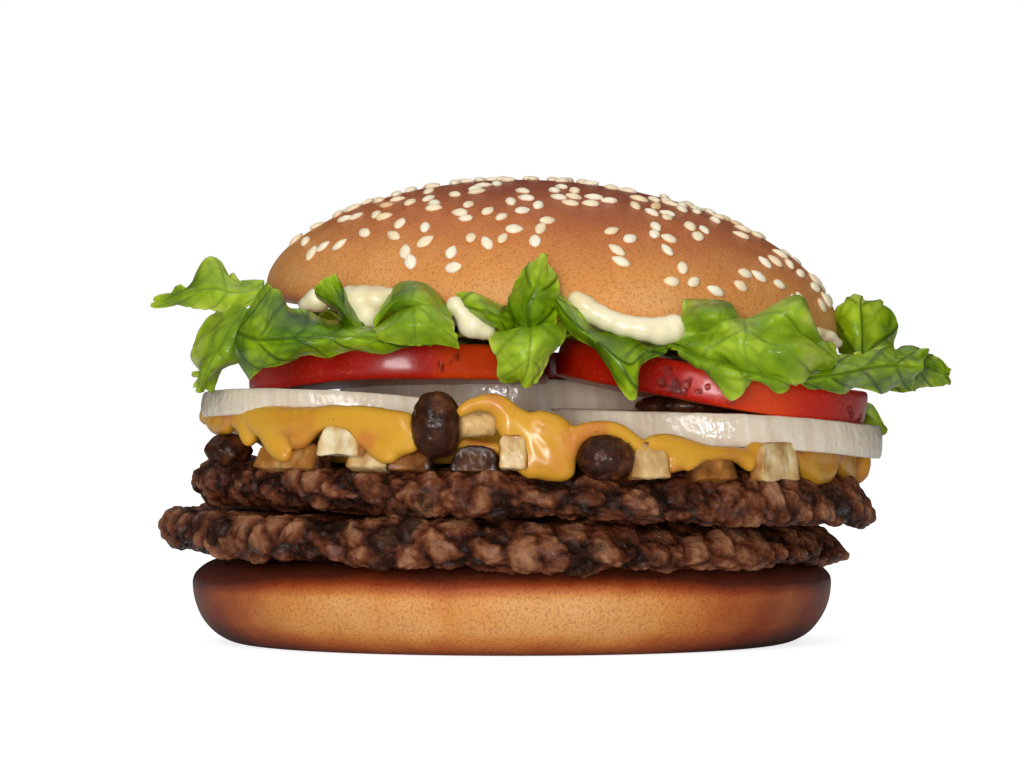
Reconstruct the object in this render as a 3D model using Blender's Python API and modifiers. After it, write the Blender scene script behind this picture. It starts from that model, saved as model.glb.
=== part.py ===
# Double cheeseburger with fried mushrooms, modelled in metres, +Z up.
# The origin is the middle of the flat underside of the bottom bun. +X is to the right of the front
# view and +Y points away from it. Every layer is a closed solid, and the layers keep a hair of air
# between them.

import math
import random

import bmesh
import bpy
from mathutils import Matrix, Vector, noise
from mathutils.bvhtree import BVHTree

MM = 0.001
AIR = 0.34  # mm of air kept between neighbouring pieces
WELD = 5e-6  # m, closer points than this are one
SMOOTH_ANGLE = math.radians(50)
ATTEMPTS = 10  # a cut that leaves a gap or a pinched edge is tried again
NUDGE = 0.06  # mm, how far the piece is moved for each new try

# All sizes below are millimetres.
HEEL_RADIUS = 60.0
HEEL_FOOT_RADIUS = 50.0
HEEL_HEIGHT = 16.4
HEEL_WIDEST_HEIGHT = 11.5
BUN_STEPS = 40

CROWN_RADIUS = 53.6
CROWN_RISE = 25.8  # from the widest ring to the top
CROWN_LIP = 1.3  # from the widest ring down to the cut face
CROWN_CENTRE = (8.3, 0.0, 60.9)
CROWN_LEAN = 5.0  # degrees, right side down

SEED_COUNT = 112
SEED_LENGTH = 3.3
SEED_WIDTH = 2.1
SEED_THICKNESS = 1.3
SEED_LIFT = 0.12  # from the crust to the middle of a seed
SEED_SPACING = 2.6
SEED_PAIRING = 0.42  # share of seeds that fell beside the one before

PATTY_RADIUS = 64.0
PATTY_THICKNESS = 8.0
PATTY_RIM = 5.0  # how far the rounded rim stands out
PATTY_STEPS = 72
PATTY_CHUNK = 8.0  # size of the lumps of mince
PATTY_RELIEF = 3.6  # how far they stand out
DROOP_START = 48.0  # the rim sags from this radius outward
# Sag of the rim at the left, front and right ends; pinch is how much thinner the right end is.
PATTIES = {
    "patty_lower": {"centre": (-1.8, 0.0, 20.95), "sag": (-0.8, 3.0, 4.0),
                    "pinch": 0.45, "draw": 3.0},
    "patty_upper": {"centre": (4.8, 0.0, 29.4), "sag": (-1.8, 1.7, 5.2),
                    "pinch": 0.0, "draw": 11.0},
}

# Lean lowers a slice's right side and nod its far side (both in degrees, nod below zero). Ends are
# how far its left and right ends sink below the plane; below zero they curl up.
ONION_STEPS = 32
ONIONS = {
    "onion_left": {"centre": (-27.5, -14.0, 43.6), "size": (30.3, 4.4),
                   "lean": 4.1, "nod": -2.0, "ends": (1.3, 1.2)},
    "onion_right": {"centre": (37.3, -14.0, 40.0), "size": (31.0, 4.9),
                    "lean": 1.4, "nod": 0.0, "ends": (0.0, 1.9)},
    "onion_back": {"centre": (-1.0, 31.0, 46.3), "size": (32.0, 4.3),
                   "lean": 2.6, "nod": 0.0, "ends": (0.0, 0.0)},
}

TOMATO_STEPS = 30
TOMATOES = {
    "tomato_left": {"centre": (-21.0, -10.0, 53.2), "size": (28.0, 5.8),
                    "lean": 0.0, "nod": 0.8, "ends": (2.2, 0.0)},
    "tomato_right": {"centre": (36.6, -15.0, 47.8), "size": (29.0, 5.8),
                     "lean": 10.9, "nod": 0.0, "ends": (-0.5, -1.7)},
    "tomato_back": {"centre": (9.0, 37.5, 51.6), "size": (26.0, 5.6),
                    "lean": 2.6, "nod": -0.5, "ends": (0.0, 0.0)},
}

CHEESE_RADIUS = 58.5
CHEESE_SHIFT = 2.5
CHEESE_EDGE = 2.6  # thickness of its edge between the runs
CHEESE_STEPS = 80
ROUGH_SHARE = 0.22  # share of a patty's triangles that its rougher cutter keeps
ROUGH_AIR = 0.6  # mm, how much larger that cutter is
CHEESE_BEND = 4.0  # x where its top stops following the left onion and follows the right one
CHEESE_HEIGHT = 37.3  # of its top there
CHEESE_SLOPE = 0.072  # rise of its top to the left of the bend
CHEESE_NOD = 0.035  # rise of its top towards the front, left of the bend
CHEESE_DIP = 0.0008  # fall to the right of the bend, times the square of the distance

SAUCE_STEPS = 30
SAUCE_RADIUS = 40.0
SAUCE_DEPTH = 1.8
SAUCE_SHIFT = 5.0

MUSHROOM_SLICE = 3.0  # thickness of a slice
CAP_SEGMENTS = 9
CAP_RINGS = 6

LEAF_THICKNESS = 0.7
LEAF_ROWS = 5
LEAF_COLUMNS = 3
BED_RADIUS = 44.0
BED_SHIFT = 3.0
BED_STEPS = 30

# Runs and folds of the sauce along its front edge: x in the front view, half width, how far it
# runs down, how far it rises over the onion, how far it stands out.
CHEESE_RUNS = {
    "far_left": (-53.6, 5.0, 0.8, 1.2, 1.0),
    "left_thin": (-49.0, 2.6, 2.4, 0.6, 0.6),
    "left_run": (-40.5, 3.6, 3.0, 1.2, 1.6),
    "left_fold": (-31.0, 8.0, 0.6, 2.6, 1.4),
    "middle_run": (-22.0, 3.6, 2.6, 1.2, 2.2),
    "stem_cover": (-2.5, 7.5, -1.4, 7.2, 2.0),
    "front_pool": (6.0, 6.0, 3.0, 4.4, 3.4),
    "arch": (17.0, 7.5, 0.6, 4.4, 2.4),
    "right_run": (29.5, 4.0, 1.6, 1.8, 2.0),
    "right_fold": (41.0, 5.0, 0.4, 2.2, 1.5),
    "right_end": (51.5, 4.4, 2.6, 1.4, 2.6),
    "far_right": (59.6, 4.0, 1.8, 1.0, 3.6),
}
REAR_RUNS = 9

# Whole small mushrooms: the cap's centre and half sizes, and the far end of a stem if it has one.
MUSHROOM_CAPS = {
    "mushroom_button": {"centre": (-13.4, -59.0, 41.4), "half": (4.8, 4.6, 6.0),
                        "stem": (-3.0, -57.0, 41.6)},
    "mushroom_cap_front": {"centre": (16.5, -60.4, 35.4), "half": (5.5, 4.2, 4.2)},
    "mushroom_cap_left": {"centre": (-52.0, -25.5, 36.4), "half": (4.6, 4.2, 3.0)},
    "mushroom_cap_inside": {"centre": (31.0, -29.0, 44.6), "half": (9.0, 5.5, 2.3)},
    "mushroom_cap_back_left": {"centre": (-38.5, 41.0, 38.9), "half": (6.4, 5.2, 4.4)},
    "mushroom_cap_back_right": {"centre": (44.0, 39.0, 36.5), "half": (6.2, 5.4, 4.2)},
}
# Slices lean on edge: centre, width, height, the way the cut face looks (degrees from +X), and
# how far it tilts back.
MUSHROOM_SLICES = {
    "mushroom_slice_far_left": ((-40.0, -43.5, 35.2), 13.5, 4.4, 226.0, 18.0),
    "mushroom_slice_left": ((-31.2, -52.6, 38.4), 8.6, 5.0, 240.0, 8.0),
    "mushroom_slice_low": ((-25.8, -53.4, 34.6), 6.6, 2.8, 244.0, 20.0),
    "mushroom_slice_brown": ((-18.4, -56.6, 34.6), 8.4, 4.0, 252.0, 18.0),
    "mushroom_slice_under": ((-6.6, -59.6, 34.8), 8.6, 4.4, 262.0, 14.0),
    "mushroom_slice_pale": ((0.2, -61.6, 35.3), 5.0, 5.6, 268.0, 6.0),
    "mushroom_slice_beside": ((24.6, -58.0, 34.2), 7.2, 5.8, 290.0, 8.0),
    "mushroom_slice_golden": ((36.4, -52.0, 32.9), 10.2, 4.8, 302.0, 16.0),
    "mushroom_slice_right": ((47.6, -43.0, 33.6), 9.4, 6.4, 316.0, 4.0),
    "mushroom_slice_back_1": ((-53.5, 14.0, 37.0), 9.0, 6.0, 165.0, 12.0),
    "mushroom_slice_back_2": ((-20.5, 54.0, 36.4), 8.6, 5.6, 112.0, 14.0),
    "mushroom_slice_back_3": ((6.0, 58.0, 35.6), 9.4, 5.8, 84.0, 10.0),
    "mushroom_slice_back_4": ((27.0, 53.0, 34.8), 8.4, 5.4, 62.0, 16.0),
}

# A leaf follows a bent spine from its root under the crown to its tip. Roll turns the blade about
# the spine, fold is a V across it, ruffle the height of its waves.
LEAVES = {
    "leaf_flap_centre": {
        "root": (0.0, -45.0, 57.6), "knee": (1.5, -61.0, 62.5), "tip": (2.0, -60.5, 48.6),
        "width": 15.0, "roll": 0, "fold": -0.12, "ruffle": 1.0, "waves": 1.5, "sharp": 0.8,
    },
    "leaf_flap_pointed": {
        "root": (15.0, -45.0, 56.6), "knee": (15.5, -61.0, 64.5), "tip": (21.2, -61.0, 46.6),
        "width": 17.0, "roll": 4, "fold": -0.15, "ruffle": 1.2, "waves": 1.8, "sharp": 1.2,
    },
    "leaf_flap_right": {
        "root": (38.0, -36.0, 53.3), "knee": (41.5, -57.5, 58.0), "tip": (41.0, -59.0, 47.2),
        "width": 20.0, "roll": -4, "fold": -0.08, "ruffle": 1.4, "waves": 2.2, "sharp": 0.6,
    },
    "leaf_left_fold": {
        "root": (-23.0, -45.0, 58.4), "knee": (-42.0, -60.0, 67.0), "tip": (-48.0, -46.0, 50.0),
        "width": 16.0, "roll": 74, "fold": 0.14, "ruffle": 1.3, "waves": 1.3, "sharp": 0.6,
    },
    "leaf_left_low": {
        "root": (-42.0, -24.0, 59.6), "knee": (-57.0, -34.0, 67.0), "tip": (-57.5, -32.0, 47.8),
        "width": 14.5, "roll": 10, "fold": -0.2, "ruffle": 1.2, "waves": 1.4, "sharp": 0.6,
    },
    "leaf_left_back": {
        "root": (-44.0, -2.0, 57.6), "knee": (-60.0, -4.0, 64.0), "tip": (-58.5, 0.0, 53.0),
        "width": 13.0, "roll": 0, "fold": -0.1, "ruffle": 1.2, "waves": 1.5, "sharp": 0.7,
    },
    "leaf_far_left": {
        "root": (-42.0, -12.0, 61.8), "knee": (-54.0, -19.0, 71.0), "tip": (-67.0, -18.0, 63.0),
        "width": 11.5, "roll": 40, "fold": 0.25, "ruffle": 1.5, "waves": 1.6, "sharp": 0.8,
    },
    "leaf_upright_left": {
        "root": (-29.0, -41.0, 60.8), "knee": (-31.5, -55.0, 60.0), "tip": (-31.0, -56.0, 68.4),
        "width": 9.0, "roll": -12, "fold": 0.4, "ruffle": 0.7, "waves": 1.2, "sharp": 1.2,
    },
    "leaf_arch": {
        "root": (-16.5, -42.0, 60.2), "knee": (-19.0, -56.0, 60.6), "tip": (-20.0, -57.0, 66.8),
        "width": 19.0, "roll": 4, "fold": -0.22, "ruffle": 0.9, "waves": 1.2, "sharp": 0.4,
    },
    "leaf_arch_low": {
        "root": (-7.0, -46.0, 58.8), "knee": (-16.0, -64.0, 61.5), "tip": (-30.0, -57.0, 57.0),
        "width": 8.5, "roll": 66, "fold": 0.15, "ruffle": 0.8, "waves": 1.3, "sharp": 0.6,
    },
    "leaf_small_dark": {
        "root": (-1.5, -48.0, 60.0), "knee": (-2.6, -59.5, 61.0), "tip": (-10.0, -59.5, 64.9),
        "width": 6.0, "roll": 40, "fold": 0.3, "ruffle": 0.5, "waves": 1.2, "sharp": 0.8,
    },
    "leaf_peak": {
        "root": (6.0, -45.0, 59.0), "knee": (7.6, -60.0, 55.4), "tip": (5.8, -60.0, 71.0),
        "width": 13.0, "roll": 8, "fold": 0.3, "ruffle": 1.1, "waves": 1.8, "sharp": 1.0,
    },
    "leaf_fan": {
        "root": (36.0, -36.0, 56.2), "knee": (41.5, -57.0, 53.6), "tip": (43.0, -55.0, 64.0),
        "width": 28.0, "roll": 0, "fold": 0.1, "ruffle": 1.8, "waves": 1.9, "sharp": 0.35,
    },
    "leaf_right_blade": {
        "root": (35.0, -44.0, 54.6), "knee": (49.0, -66.0, 55.4), "tip": (62.0, -40.0, 51.6),
        "width": 10.5, "roll": -66, "fold": 0.12, "ruffle": 1.2, "waves": 1.6, "sharp": 0.5,
    },
    "leaf_right_back": {
        "root": (54.0, -2.0, 55.2), "knee": (66.0, 1.0, 54.4), "tip": (67.5, 3.0, 65.0),
        "width": 18.0, "roll": 18, "fold": 0.15, "ruffle": 1.4, "waves": 1.5, "sharp": 0.35,
    },
    "leaf_far_right": {
        "root": (48.0, -24.0, 51.8), "knee": (66.0, -31.0, 50.6), "tip": (80.5, -20.0, 51.0),
        "width": 13.0, "roll": -44, "fold": 0.25, "ruffle": 1.0, "waves": 1.4, "sharp": 0.5,
    },
    "leaf_small_low": {
        "root": (61.0, 11.0, 48.2), "knee": (68.0, 8.0, 49.0), "tip": (70.5, 4.0, 40.2),
        "width": 4.8, "roll": -20, "fold": 0.25, "ruffle": 0.3, "waves": 1.0, "sharp": 1.0,
    },
}
REAR_LEAVES = 8
REAR_LEAF_START = 22.0  # degrees from +X
REAR_LEAF_END = 160.0
REAR_LEAF_DRAW = 8

MAYO_LOBES = {
    "left": ((-33.0, -38.0, 62.6), (4.0, 9.0, 2.0)),
    "front_left": ((-24.5, -43.5, 62.0), (5.5, 8.5, 3.2)),
    "front_dollop": ((-8.0, -47.0, 60.2), (3.6, 10.0, 2.8)),
    "front_middle": ((14.0, -46.5, 60.2), (6.5, 10.5, 2.8)),
    "front_right": ((23.5, -44.5, 58.6), (7.0, 11.0, 2.5)),
    "right": ((49.0, -23.0, 56.2), (8.0, 6.0, 1.6)),
    "back_right": ((28.0, 42.0, 57.8), (8.0, 8.0, 2.2)),
    "back_left": ((-18.0, 43.0, 61.6), (8.0, 9.0, 2.2)),
}

COLOURS = {
    "bun": (0.50, 0.22, 0.09),
    "beef": (0.10, 0.055, 0.038),
    "cheese": (0.85, 0.42, 0.05),
    "mushroom": (0.16, 0.085, 0.045),
    "mushroom_cut": (0.62, 0.48, 0.27),
    "onion": (0.80, 0.76, 0.66),
    "tomato": (0.55, 0.02, 0.01),
    "lettuce": (0.16, 0.35, 0.03),
    "mayonnaise": (0.90, 0.82, 0.60),
}
ROUGHNESS = {"beef": 0.45, "bun": 0.5, "lettuce": 0.45}
DEFAULT_ROUGHNESS = 0.3


def clear_scene():
    for obj in list(bpy.data.objects):
        bpy.data.objects.remove(obj)


def make_material(name):
    """Principled material in the colour of that food."""
    material = bpy.data.materials.new(name)
    material.use_nodes = True
    shader = material.node_tree.nodes["Principled BSDF"]
    shader.inputs["Base Color"].default_value = (*COLOURS[name], 1.0)
    shader.inputs["Roughness"].default_value = ROUGHNESS.get(name, DEFAULT_ROUGHNESS)
    shader.inputs["Metallic"].default_value = 0.0
    return material


def make_collection(name):
    collection = bpy.data.collections.new(name)
    bpy.context.scene.collection.children.link(collection)
    return collection


def add_object(name, mesh, collection, material=None):
    obj = bpy.data.objects.new(name, mesh)
    mesh.name = name
    if material:
        mesh.materials.clear()
        mesh.materials.append(material)
        mesh.shade_smooth()
        mesh.set_sharp_from_angle(angle=SMOOTH_ANGLE)
    collection.objects.link(obj)
    return obj


def evaluated_mesh(obj):
    """A mesh of its own, with the object's modifiers applied and its place in the points."""
    bpy.context.view_layer.update()
    graph = bpy.context.evaluated_depsgraph_get()
    mesh = bpy.data.meshes.new_from_object(obj.evaluated_get(graph))
    mesh.transform(obj.matrix_world)
    return mesh


def take_mesh(obj):
    """The object's evaluated mesh; the object itself is removed."""
    mesh = evaluated_mesh(obj)
    bpy.data.objects.remove(obj)
    return mesh


def edited(mesh, edit):
    """Runs edit(bm) on a mesh and returns the mesh."""
    bm = bmesh.new()
    bm.from_mesh(mesh)
    edit(bm)
    bm.to_mesh(mesh)
    bm.free()
    return mesh


def moved(mesh, move):
    """Sends each vertex to move(point, normal), both in millimetres, and returns the mesh."""
    normals = [vertex.normal.copy() for vertex in mesh.vertices]
    for vertex, normal in zip(mesh.vertices, normals):
        vertex.co = move(vertex.co / MM, normal) * MM
    mesh.update()
    return mesh


def inflated(mesh, by=AIR):
    """A copy of the mesh, larger by that many millimetres all round."""
    return moved(mesh.copy(), lambda point, normal: point + normal * by)


def bounds(mesh):
    """Lowest and highest corner of a mesh, in metres."""
    corners = [vertex.co for vertex in mesh.vertices]
    return [[edge(point[i] for point in corners) for i in range(3)] for edge in (min, max)]


def boxes_meet(mesh, other):
    (low, high), (other_low, other_high) = bounds(mesh), bounds(other)
    return all(low[i] < other_high[i] and other_low[i] < high[i] for i in range(3))


def is_closed(mesh):
    bm = bmesh.new()
    bm.from_mesh(mesh)
    bmesh.ops.triangulate(bm, faces=bm.faces)
    bmesh.ops.remove_doubles(bm, verts=bm.verts, dist=2 * WELD)
    closed = all(part.is_manifold for part in [*bm.edges, *bm.verts])
    bm.free()
    return closed


def boolean(mesh, others, operation):
    """The mesh after a union with the other meshes, or with them cut away."""
    helpers = make_collection("boolean_helpers")
    for other in others:
        add_object("helper", other, helpers)
    target = add_object("target", mesh, bpy.context.scene.collection)
    modifier = target.modifiers.new("Join", "BOOLEAN")
    modifier.operation = operation
    modifier.operand_type = "COLLECTION"
    modifier.collection = helpers
    modifier.solver = "EXACT"
    for attempt in range(ATTEMPTS):
        target.location = Vector([math.sin(k * attempt) for k in (1, 2, 3)]) * NUDGE * MM
        result = largest_part(evaluated_mesh(target))
        if is_closed(result):
            break
    for helper in [target, *helpers.objects]:
        bpy.data.objects.remove(helper)
    bpy.data.collections.remove(helpers)
    return result


def cut(mesh, neighbours):
    """The mesh with a hair of air cut between it and its neighbours, all at once or in turn."""
    cutters = [inflated(neighbour) for neighbour in neighbours]
    cutters = [cutter for cutter in cutters if boxes_meet(mesh, cutter)]
    if not cutters:
        return mesh
    result = boolean(mesh, cutters, "DIFFERENCE")
    if is_closed(result):
        return result
    for cutter in cutters:
        mesh = boolean(mesh, [cutter], "DIFFERENCE")
    return mesh


def largest_part(mesh):
    """Drops loose scraps: only the connected part with the most surface stays."""

    def drop(bm):
        bmesh.ops.remove_doubles(bm, verts=bm.verts, dist=WELD)
        bmesh.ops.dissolve_degenerate(bm, edges=bm.edges, dist=WELD)
        left = set(bm.faces)
        parts = []
        while left:
            part, edge = set(), [left.pop()]
            while edge:
                face = edge.pop()
                part.add(face)
                for side in face.edges:
                    for near in side.link_faces:
                        if near in left:
                            left.discard(near)
                            edge.append(near)
            parts.append(part)
        parts.sort(key=lambda part: sum(face.calc_area() for face in part))
        scraps = [face for part in parts[:-1] for face in part]
        bmesh.ops.delete(bm, geom=scraps, context="FACES")
        loose = [vertex for vertex in bm.verts if not vertex.link_faces]
        bmesh.ops.delete(bm, geom=loose, context="VERTS")

    return edited(mesh, drop)


def thinned(mesh, share):
    """The mesh with that share of its triangles, fewest where it is flat."""
    dense = add_object("dense", mesh, bpy.context.scene.collection)
    decimate = dense.modifiers.new("Thin", "DECIMATE")
    decimate.ratio = share
    return take_mesh(dense)


def rough_cutter(mesh):
    """A simpler copy that is a little larger, to cut with."""
    return inflated(thinned(mesh.copy(), ROUGH_SHARE), ROUGH_AIR)


def turned_mesh(profile, steps):
    """Closed solid of (radius, height) points in millimetres, from the top down, spun about Z."""
    line = bpy.data.meshes.new("profile")
    points = [(radius * MM, 0.0, height * MM) for radius, height in profile]
    line.from_pydata(points, [(i, i + 1) for i in range(len(points) - 1)], [])
    spun = add_object("profile", line, bpy.context.scene.collection)
    screw = spun.modifiers.new("Spin", "SCREW")
    screw.steps = screw.render_steps = steps
    screw.use_merge_vertices = True
    screw.merge_threshold = 1e-5
    return take_mesh(spun)


def arc(centre_radius, centre_height, reach, rise, start, end, count):
    """Points of an elliptical arc, angles in degrees above the horizontal."""
    points = []
    for i in range(count + 1):
        angle = math.radians(start + (end - start) * i / count)
        points.append((centre_radius + reach * math.cos(angle), centre_height + rise * math.sin(angle)))
    return points


def disc_profile(radius, thickness, bulge, rows):
    """A flat disc whose side is a half ellipse that stands out by bulge."""
    half = thickness / 2
    return [(0.0, half)] + arc(radius - bulge, 0.0, bulge, half, 82, -82, rows) + [(0.0, -half)]


def ringed(profile, radius):
    """The disc profile with one more ring on each face, at that radius."""
    top, bottom = profile[0][1], profile[-1][1]
    return [profile[0], (radius, top)] + profile[1:-1] + [(radius, bottom), profile[-1]]


def leaning(centre, lean=0.0, nod=0.0):
    """Placement of a layer: lean lowers its right side, nod its far side for negative angles."""
    turn = Matrix.Rotation(math.radians(lean), 4, "Y") @ Matrix.Rotation(math.radians(nod), 4, "X")
    return Matrix.Translation(Vector(centre) * MM) @ turn


def lump(point, size, draw=0.0):
    """Smooth noise between -1 and 1 with lumps of that many millimetres."""
    return noise.noise(point / size + Vector((draw, draw * 1.7, draw * 0.6)))


def make_heel():
    """Bottom bun: flat underneath, widest above the middle, its top edge rounded."""
    reach = HEEL_RADIUS - HEEL_FOOT_RADIUS
    top = arc(HEEL_FOOT_RADIUS, HEEL_WIDEST_HEIGHT, reach, HEEL_HEIGHT - HEEL_WIDEST_HEIGHT, 90, 0, 3)
    foot = arc(HEEL_FOOT_RADIUS, HEEL_WIDEST_HEIGHT, reach, HEEL_WIDEST_HEIGHT, 0, -90, 4)
    mesh = turned_mesh([(0.0, HEEL_HEIGHT)] + top + foot[1:] + [(0.0, 0.0)], BUN_STEPS)

    def settle(point, normal):
        swell = 1 + 0.008 * lump(Vector((point.x, point.y, 0)), 30, 5.0)
        return Vector((point.x * swell, point.y * swell, point.z))

    return moved(mesh, settle)


def crown_point(azimuth, share):
    """Point of the crown's dome before it leans, at that share of the radius."""
    radius = CROWN_RADIUS * share
    rise = CROWN_RISE * math.sqrt(1 - share**2)
    return Vector((radius * math.cos(azimuth), radius * math.sin(azimuth), rise))


def make_crown():
    """Top bun without its seeds, leaning to the right."""
    dome = arc(0.0, 0.0, CROWN_RADIUS, CROWN_RISE, 90, 0, 9)
    lip = arc(CROWN_RADIUS - CROWN_LIP, 0.0, CROWN_LIP, CROWN_LIP, 0, -90, 2)
    mesh = turned_mesh(dome + lip[1:] + [(0.0, -CROWN_LIP)], BUN_STEPS)

    def swell(point, normal):
        return point * (1 + 0.006 * lump(point, 28, 2.0))

    moved(mesh, swell)
    mesh.transform(leaning(CROWN_CENTRE, CROWN_LEAN))
    return mesh


def crown_underside(x):
    """Height of the crown's cut face."""
    return CROWN_CENTRE[2] - CROWN_LIP - math.tan(math.radians(CROWN_LEAN)) * (x - CROWN_CENTRE[0])


def seed_spots():
    """(azimuth, share of the radius, turn) of each seed, many in twos and threes."""
    draw = random.Random(41)
    spots, points = [], []
    while len(spots) < SEED_COUNT:
        if spots and draw.random() < SEED_PAIRING:
            azimuth, share, _ = spots[-1]
            azimuth += draw.uniform(-1, 1) * 3.4 / (CROWN_RADIUS * max(share, 0.1))
            share += draw.uniform(-1, 1) * 3.4 / CROWN_RADIUS
        else:
            azimuth = draw.uniform(0, 2 * math.pi)
            share = math.sqrt(draw.uniform(0.0, 0.95))
        turn = draw.uniform(0, math.pi)
        if not 0.0 <= share < 0.972:
            continue
        point = crown_point(azimuth, share)
        if all((point - other).length > SEED_SPACING for other in points):
            spots.append((azimuth, share, turn))
            points.append(point)
    return spots


def make_seed(placement):
    bm = bmesh.new()
    bmesh.ops.create_uvsphere(bm, u_segments=5, v_segments=3, radius=1.0)
    mesh = bpy.data.meshes.new("seed")
    bm.to_mesh(mesh)
    bm.free()
    size = Matrix.Diagonal((SEED_LENGTH / 2 * MM, SEED_WIDTH / 2 * MM, SEED_THICKNESS / 2 * MM, 1))
    mesh.transform(placement @ size)
    return mesh


def make_seeded_crown():
    """The crown with every seed standing half out of its crust."""
    crown = make_crown()
    surface = bmesh.new()
    surface.from_mesh(crown)
    tree = BVHTree.FromBMesh(surface)
    surface.free()
    place = leaning(CROWN_CENTRE, CROWN_LEAN)
    seeds = []
    for azimuth, share, turn in seed_spots():
        spot, normal, _, _ = tree.find_nearest(place @ (crown_point(azimuth, share) * MM))
        upright = normal.to_track_quat("Z", "Y").to_matrix().to_4x4()
        lift = Matrix.Translation(spot + normal * SEED_LIFT * MM)
        seeds.append(make_seed(lift @ upright @ Matrix.Rotation(turn, 4, "Z")))
    return boolean(crown, seeds, "UNION")


def make_patty(spec):
    """Flame-grilled mince: a disc with a ragged lumpy rim that sags past the bun."""
    profile = disc_profile(PATTY_RADIUS, PATTY_THICKNESS, PATTY_RIM, 4)
    mesh = turned_mesh(ringed(profile, DROOP_START), PATTY_STEPS)
    left, front, right = spec["sag"]
    draw = spec["draw"]

    def knead(point, normal):
        flat = Vector((point.x, point.y, 0))
        turn = point.x / max(flat.length, 1.0)
        edge = max(0.0, (flat.length - DROOP_START) / (PATTY_RADIUS - DROOP_START)) ** 2
        chunk = PATTY_RELIEF * lump(point, PATTY_CHUNK, draw)
        pushed = point + normal * chunk * (0.03 + 0.97 * min(1.0, 1.4 * edge) * (1 - normal.z**2))
        ragged = 1 + 0.014 * lump(flat, 26, draw)
        sag = front + (right - left) / 2 * turn + ((right + left) / 2 - front) * turn**2
        thin = 1 - spec["pinch"] * max(0.0, turn) * edge
        return Vector((pushed.x * ragged, pushed.y * ragged, pushed.z * thin - sag * edge))

    moved(mesh, knead)
    mesh.transform(leaning(spec["centre"]))
    return mesh


def make_slice(spec, steps, bulge, draw):
    """Round slice of onion or tomato, a little out of round."""
    radius, thickness = spec["size"]
    mesh = turned_mesh(ringed(disc_profile(radius, thickness, bulge, 3), radius / 2), steps)

    left, right = spec["ends"]

    def wobble(point, normal):
        azimuth = math.atan2(point.y, point.x)
        out = 1 + 0.012 * math.sin(2 * azimuth + draw) + 0.008 * math.sin(5 * azimuth + 2 * draw)
        along = point.x / radius
        sink = (left if along < 0 else right) * along**2
        return Vector((point.x * out, point.y * out, point.z - sink))

    moved(mesh, wobble)
    mesh.transform(leaning(spec["centre"], spec["lean"], spec["nod"]))
    return mesh


def ball(centre, half, segments=8, rings=5):
    """Ellipsoid with half sizes in millimetres."""
    bm = bmesh.new()
    bmesh.ops.create_uvsphere(bm, u_segments=segments, v_segments=rings, radius=MM)
    mesh = bpy.data.meshes.new("ball")
    bm.to_mesh(mesh)
    bm.free()
    mesh.transform(Matrix.Translation(Vector(centre) * MM) @ Matrix.Diagonal((*half, 1)))
    return mesh


def make_cap(spec):
    """A small whole mushroom: a wrinkled cap, and its stem where that shows."""
    centre = Vector(spec["centre"])
    cap = ball(spec["centre"], spec["half"], CAP_SEGMENTS, CAP_RINGS)

    def wrinkle(point, normal):
        return point + normal * 0.35 * lump(point, 3.5, 4.0)

    moved(cap, wrinkle)
    if "stem" not in spec:
        return cap
    end = Vector(spec["stem"])
    run = end - centre
    bm = bmesh.new()
    bmesh.ops.create_cone(
        bm, cap_ends=True, segments=10, radius1=2.5 * MM, radius2=2.1 * MM, depth=run.length * MM
    )
    stem = bpy.data.meshes.new("stem")
    bm.to_mesh(stem)
    bm.free()
    aim = run.to_track_quat("Z", "Y").to_matrix().to_4x4()
    stem.transform(Matrix.Translation((centre + end) / 2 * MM) @ aim)
    return boolean(cap, [stem], "UNION")


def make_mushroom_slice(centre, width, height, facing, tilt):
    """Slice through a mushroom: a half-moon cap with a stub of stem, stood on its cut edge."""
    outline = arc(0.0, -height * 0.12, width / 2, height * 0.62, 180, 0, 7)
    stub, foot = width * 0.24, width * 0.2
    outline += [(stub, -height * 0.2), (foot, -height * 0.5)]
    outline += [(-foot, -height * 0.5), (-stub, -height * 0.2)]
    curve = bpy.data.curves.new("slice", "CURVE")
    curve.dimensions = "2D"
    curve.fill_mode = "BOTH"
    curve.extrude = MUSHROOM_SLICE / 2 * MM
    spline = curve.splines.new("POLY")
    spline.points.add(len(outline) - 1)
    for point, (x, y) in zip(spline.points, outline):
        point.co = (x * MM, y * MM, 0.0, 1.0)
    spline.use_cyclic_u = True
    shape = bpy.data.objects.new("slice", curve)
    bpy.context.scene.collection.objects.link(shape)
    mesh = take_mesh(shape)
    edited(mesh, lambda bm: bmesh.ops.remove_doubles(bm, verts=bm.verts, dist=WELD))
    look = math.radians(facing)
    stand = Matrix.Rotation(look + math.pi / 2, 4, "Z") @ Matrix.Rotation(math.radians(90 - tilt), 4, "X")
    mesh.transform(Matrix.Translation(Vector(centre) * MM) @ stand)
    return mesh


def cheese_top(x, y):
    """Height of the sauce's upper face, which follows the onions lying on it."""
    past = x - CHEESE_BEND
    if past > 0:
        return CHEESE_HEIGHT - CHEESE_DIP * past**2
    left = min(1.0, -past / 20)
    return CHEESE_HEIGHT - CHEESE_SLOPE * past - CHEESE_NOD * (y + 14) * left


def cheese_runs():
    """(azimuth, half width, down, up, out) of every run: those of the front, and a rule behind."""
    runs = []
    for x, half, down, up, out in CHEESE_RUNS.values():
        runs.append((-math.acos((x - CHEESE_SHIFT) / CHEESE_RADIUS), half, down, up, out))
    draw = random.Random(17)
    for i in range(REAR_RUNS):
        azimuth = math.radians(14 + 152 * i / (REAR_RUNS - 1) + draw.uniform(-4, 4))
        half, down, up = draw.uniform(3, 7), draw.uniform(0, 3), draw.uniform(0, 2)
        runs.append((azimuth, half, down, up, draw.uniform(0.5, 2)))
    return runs


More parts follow.
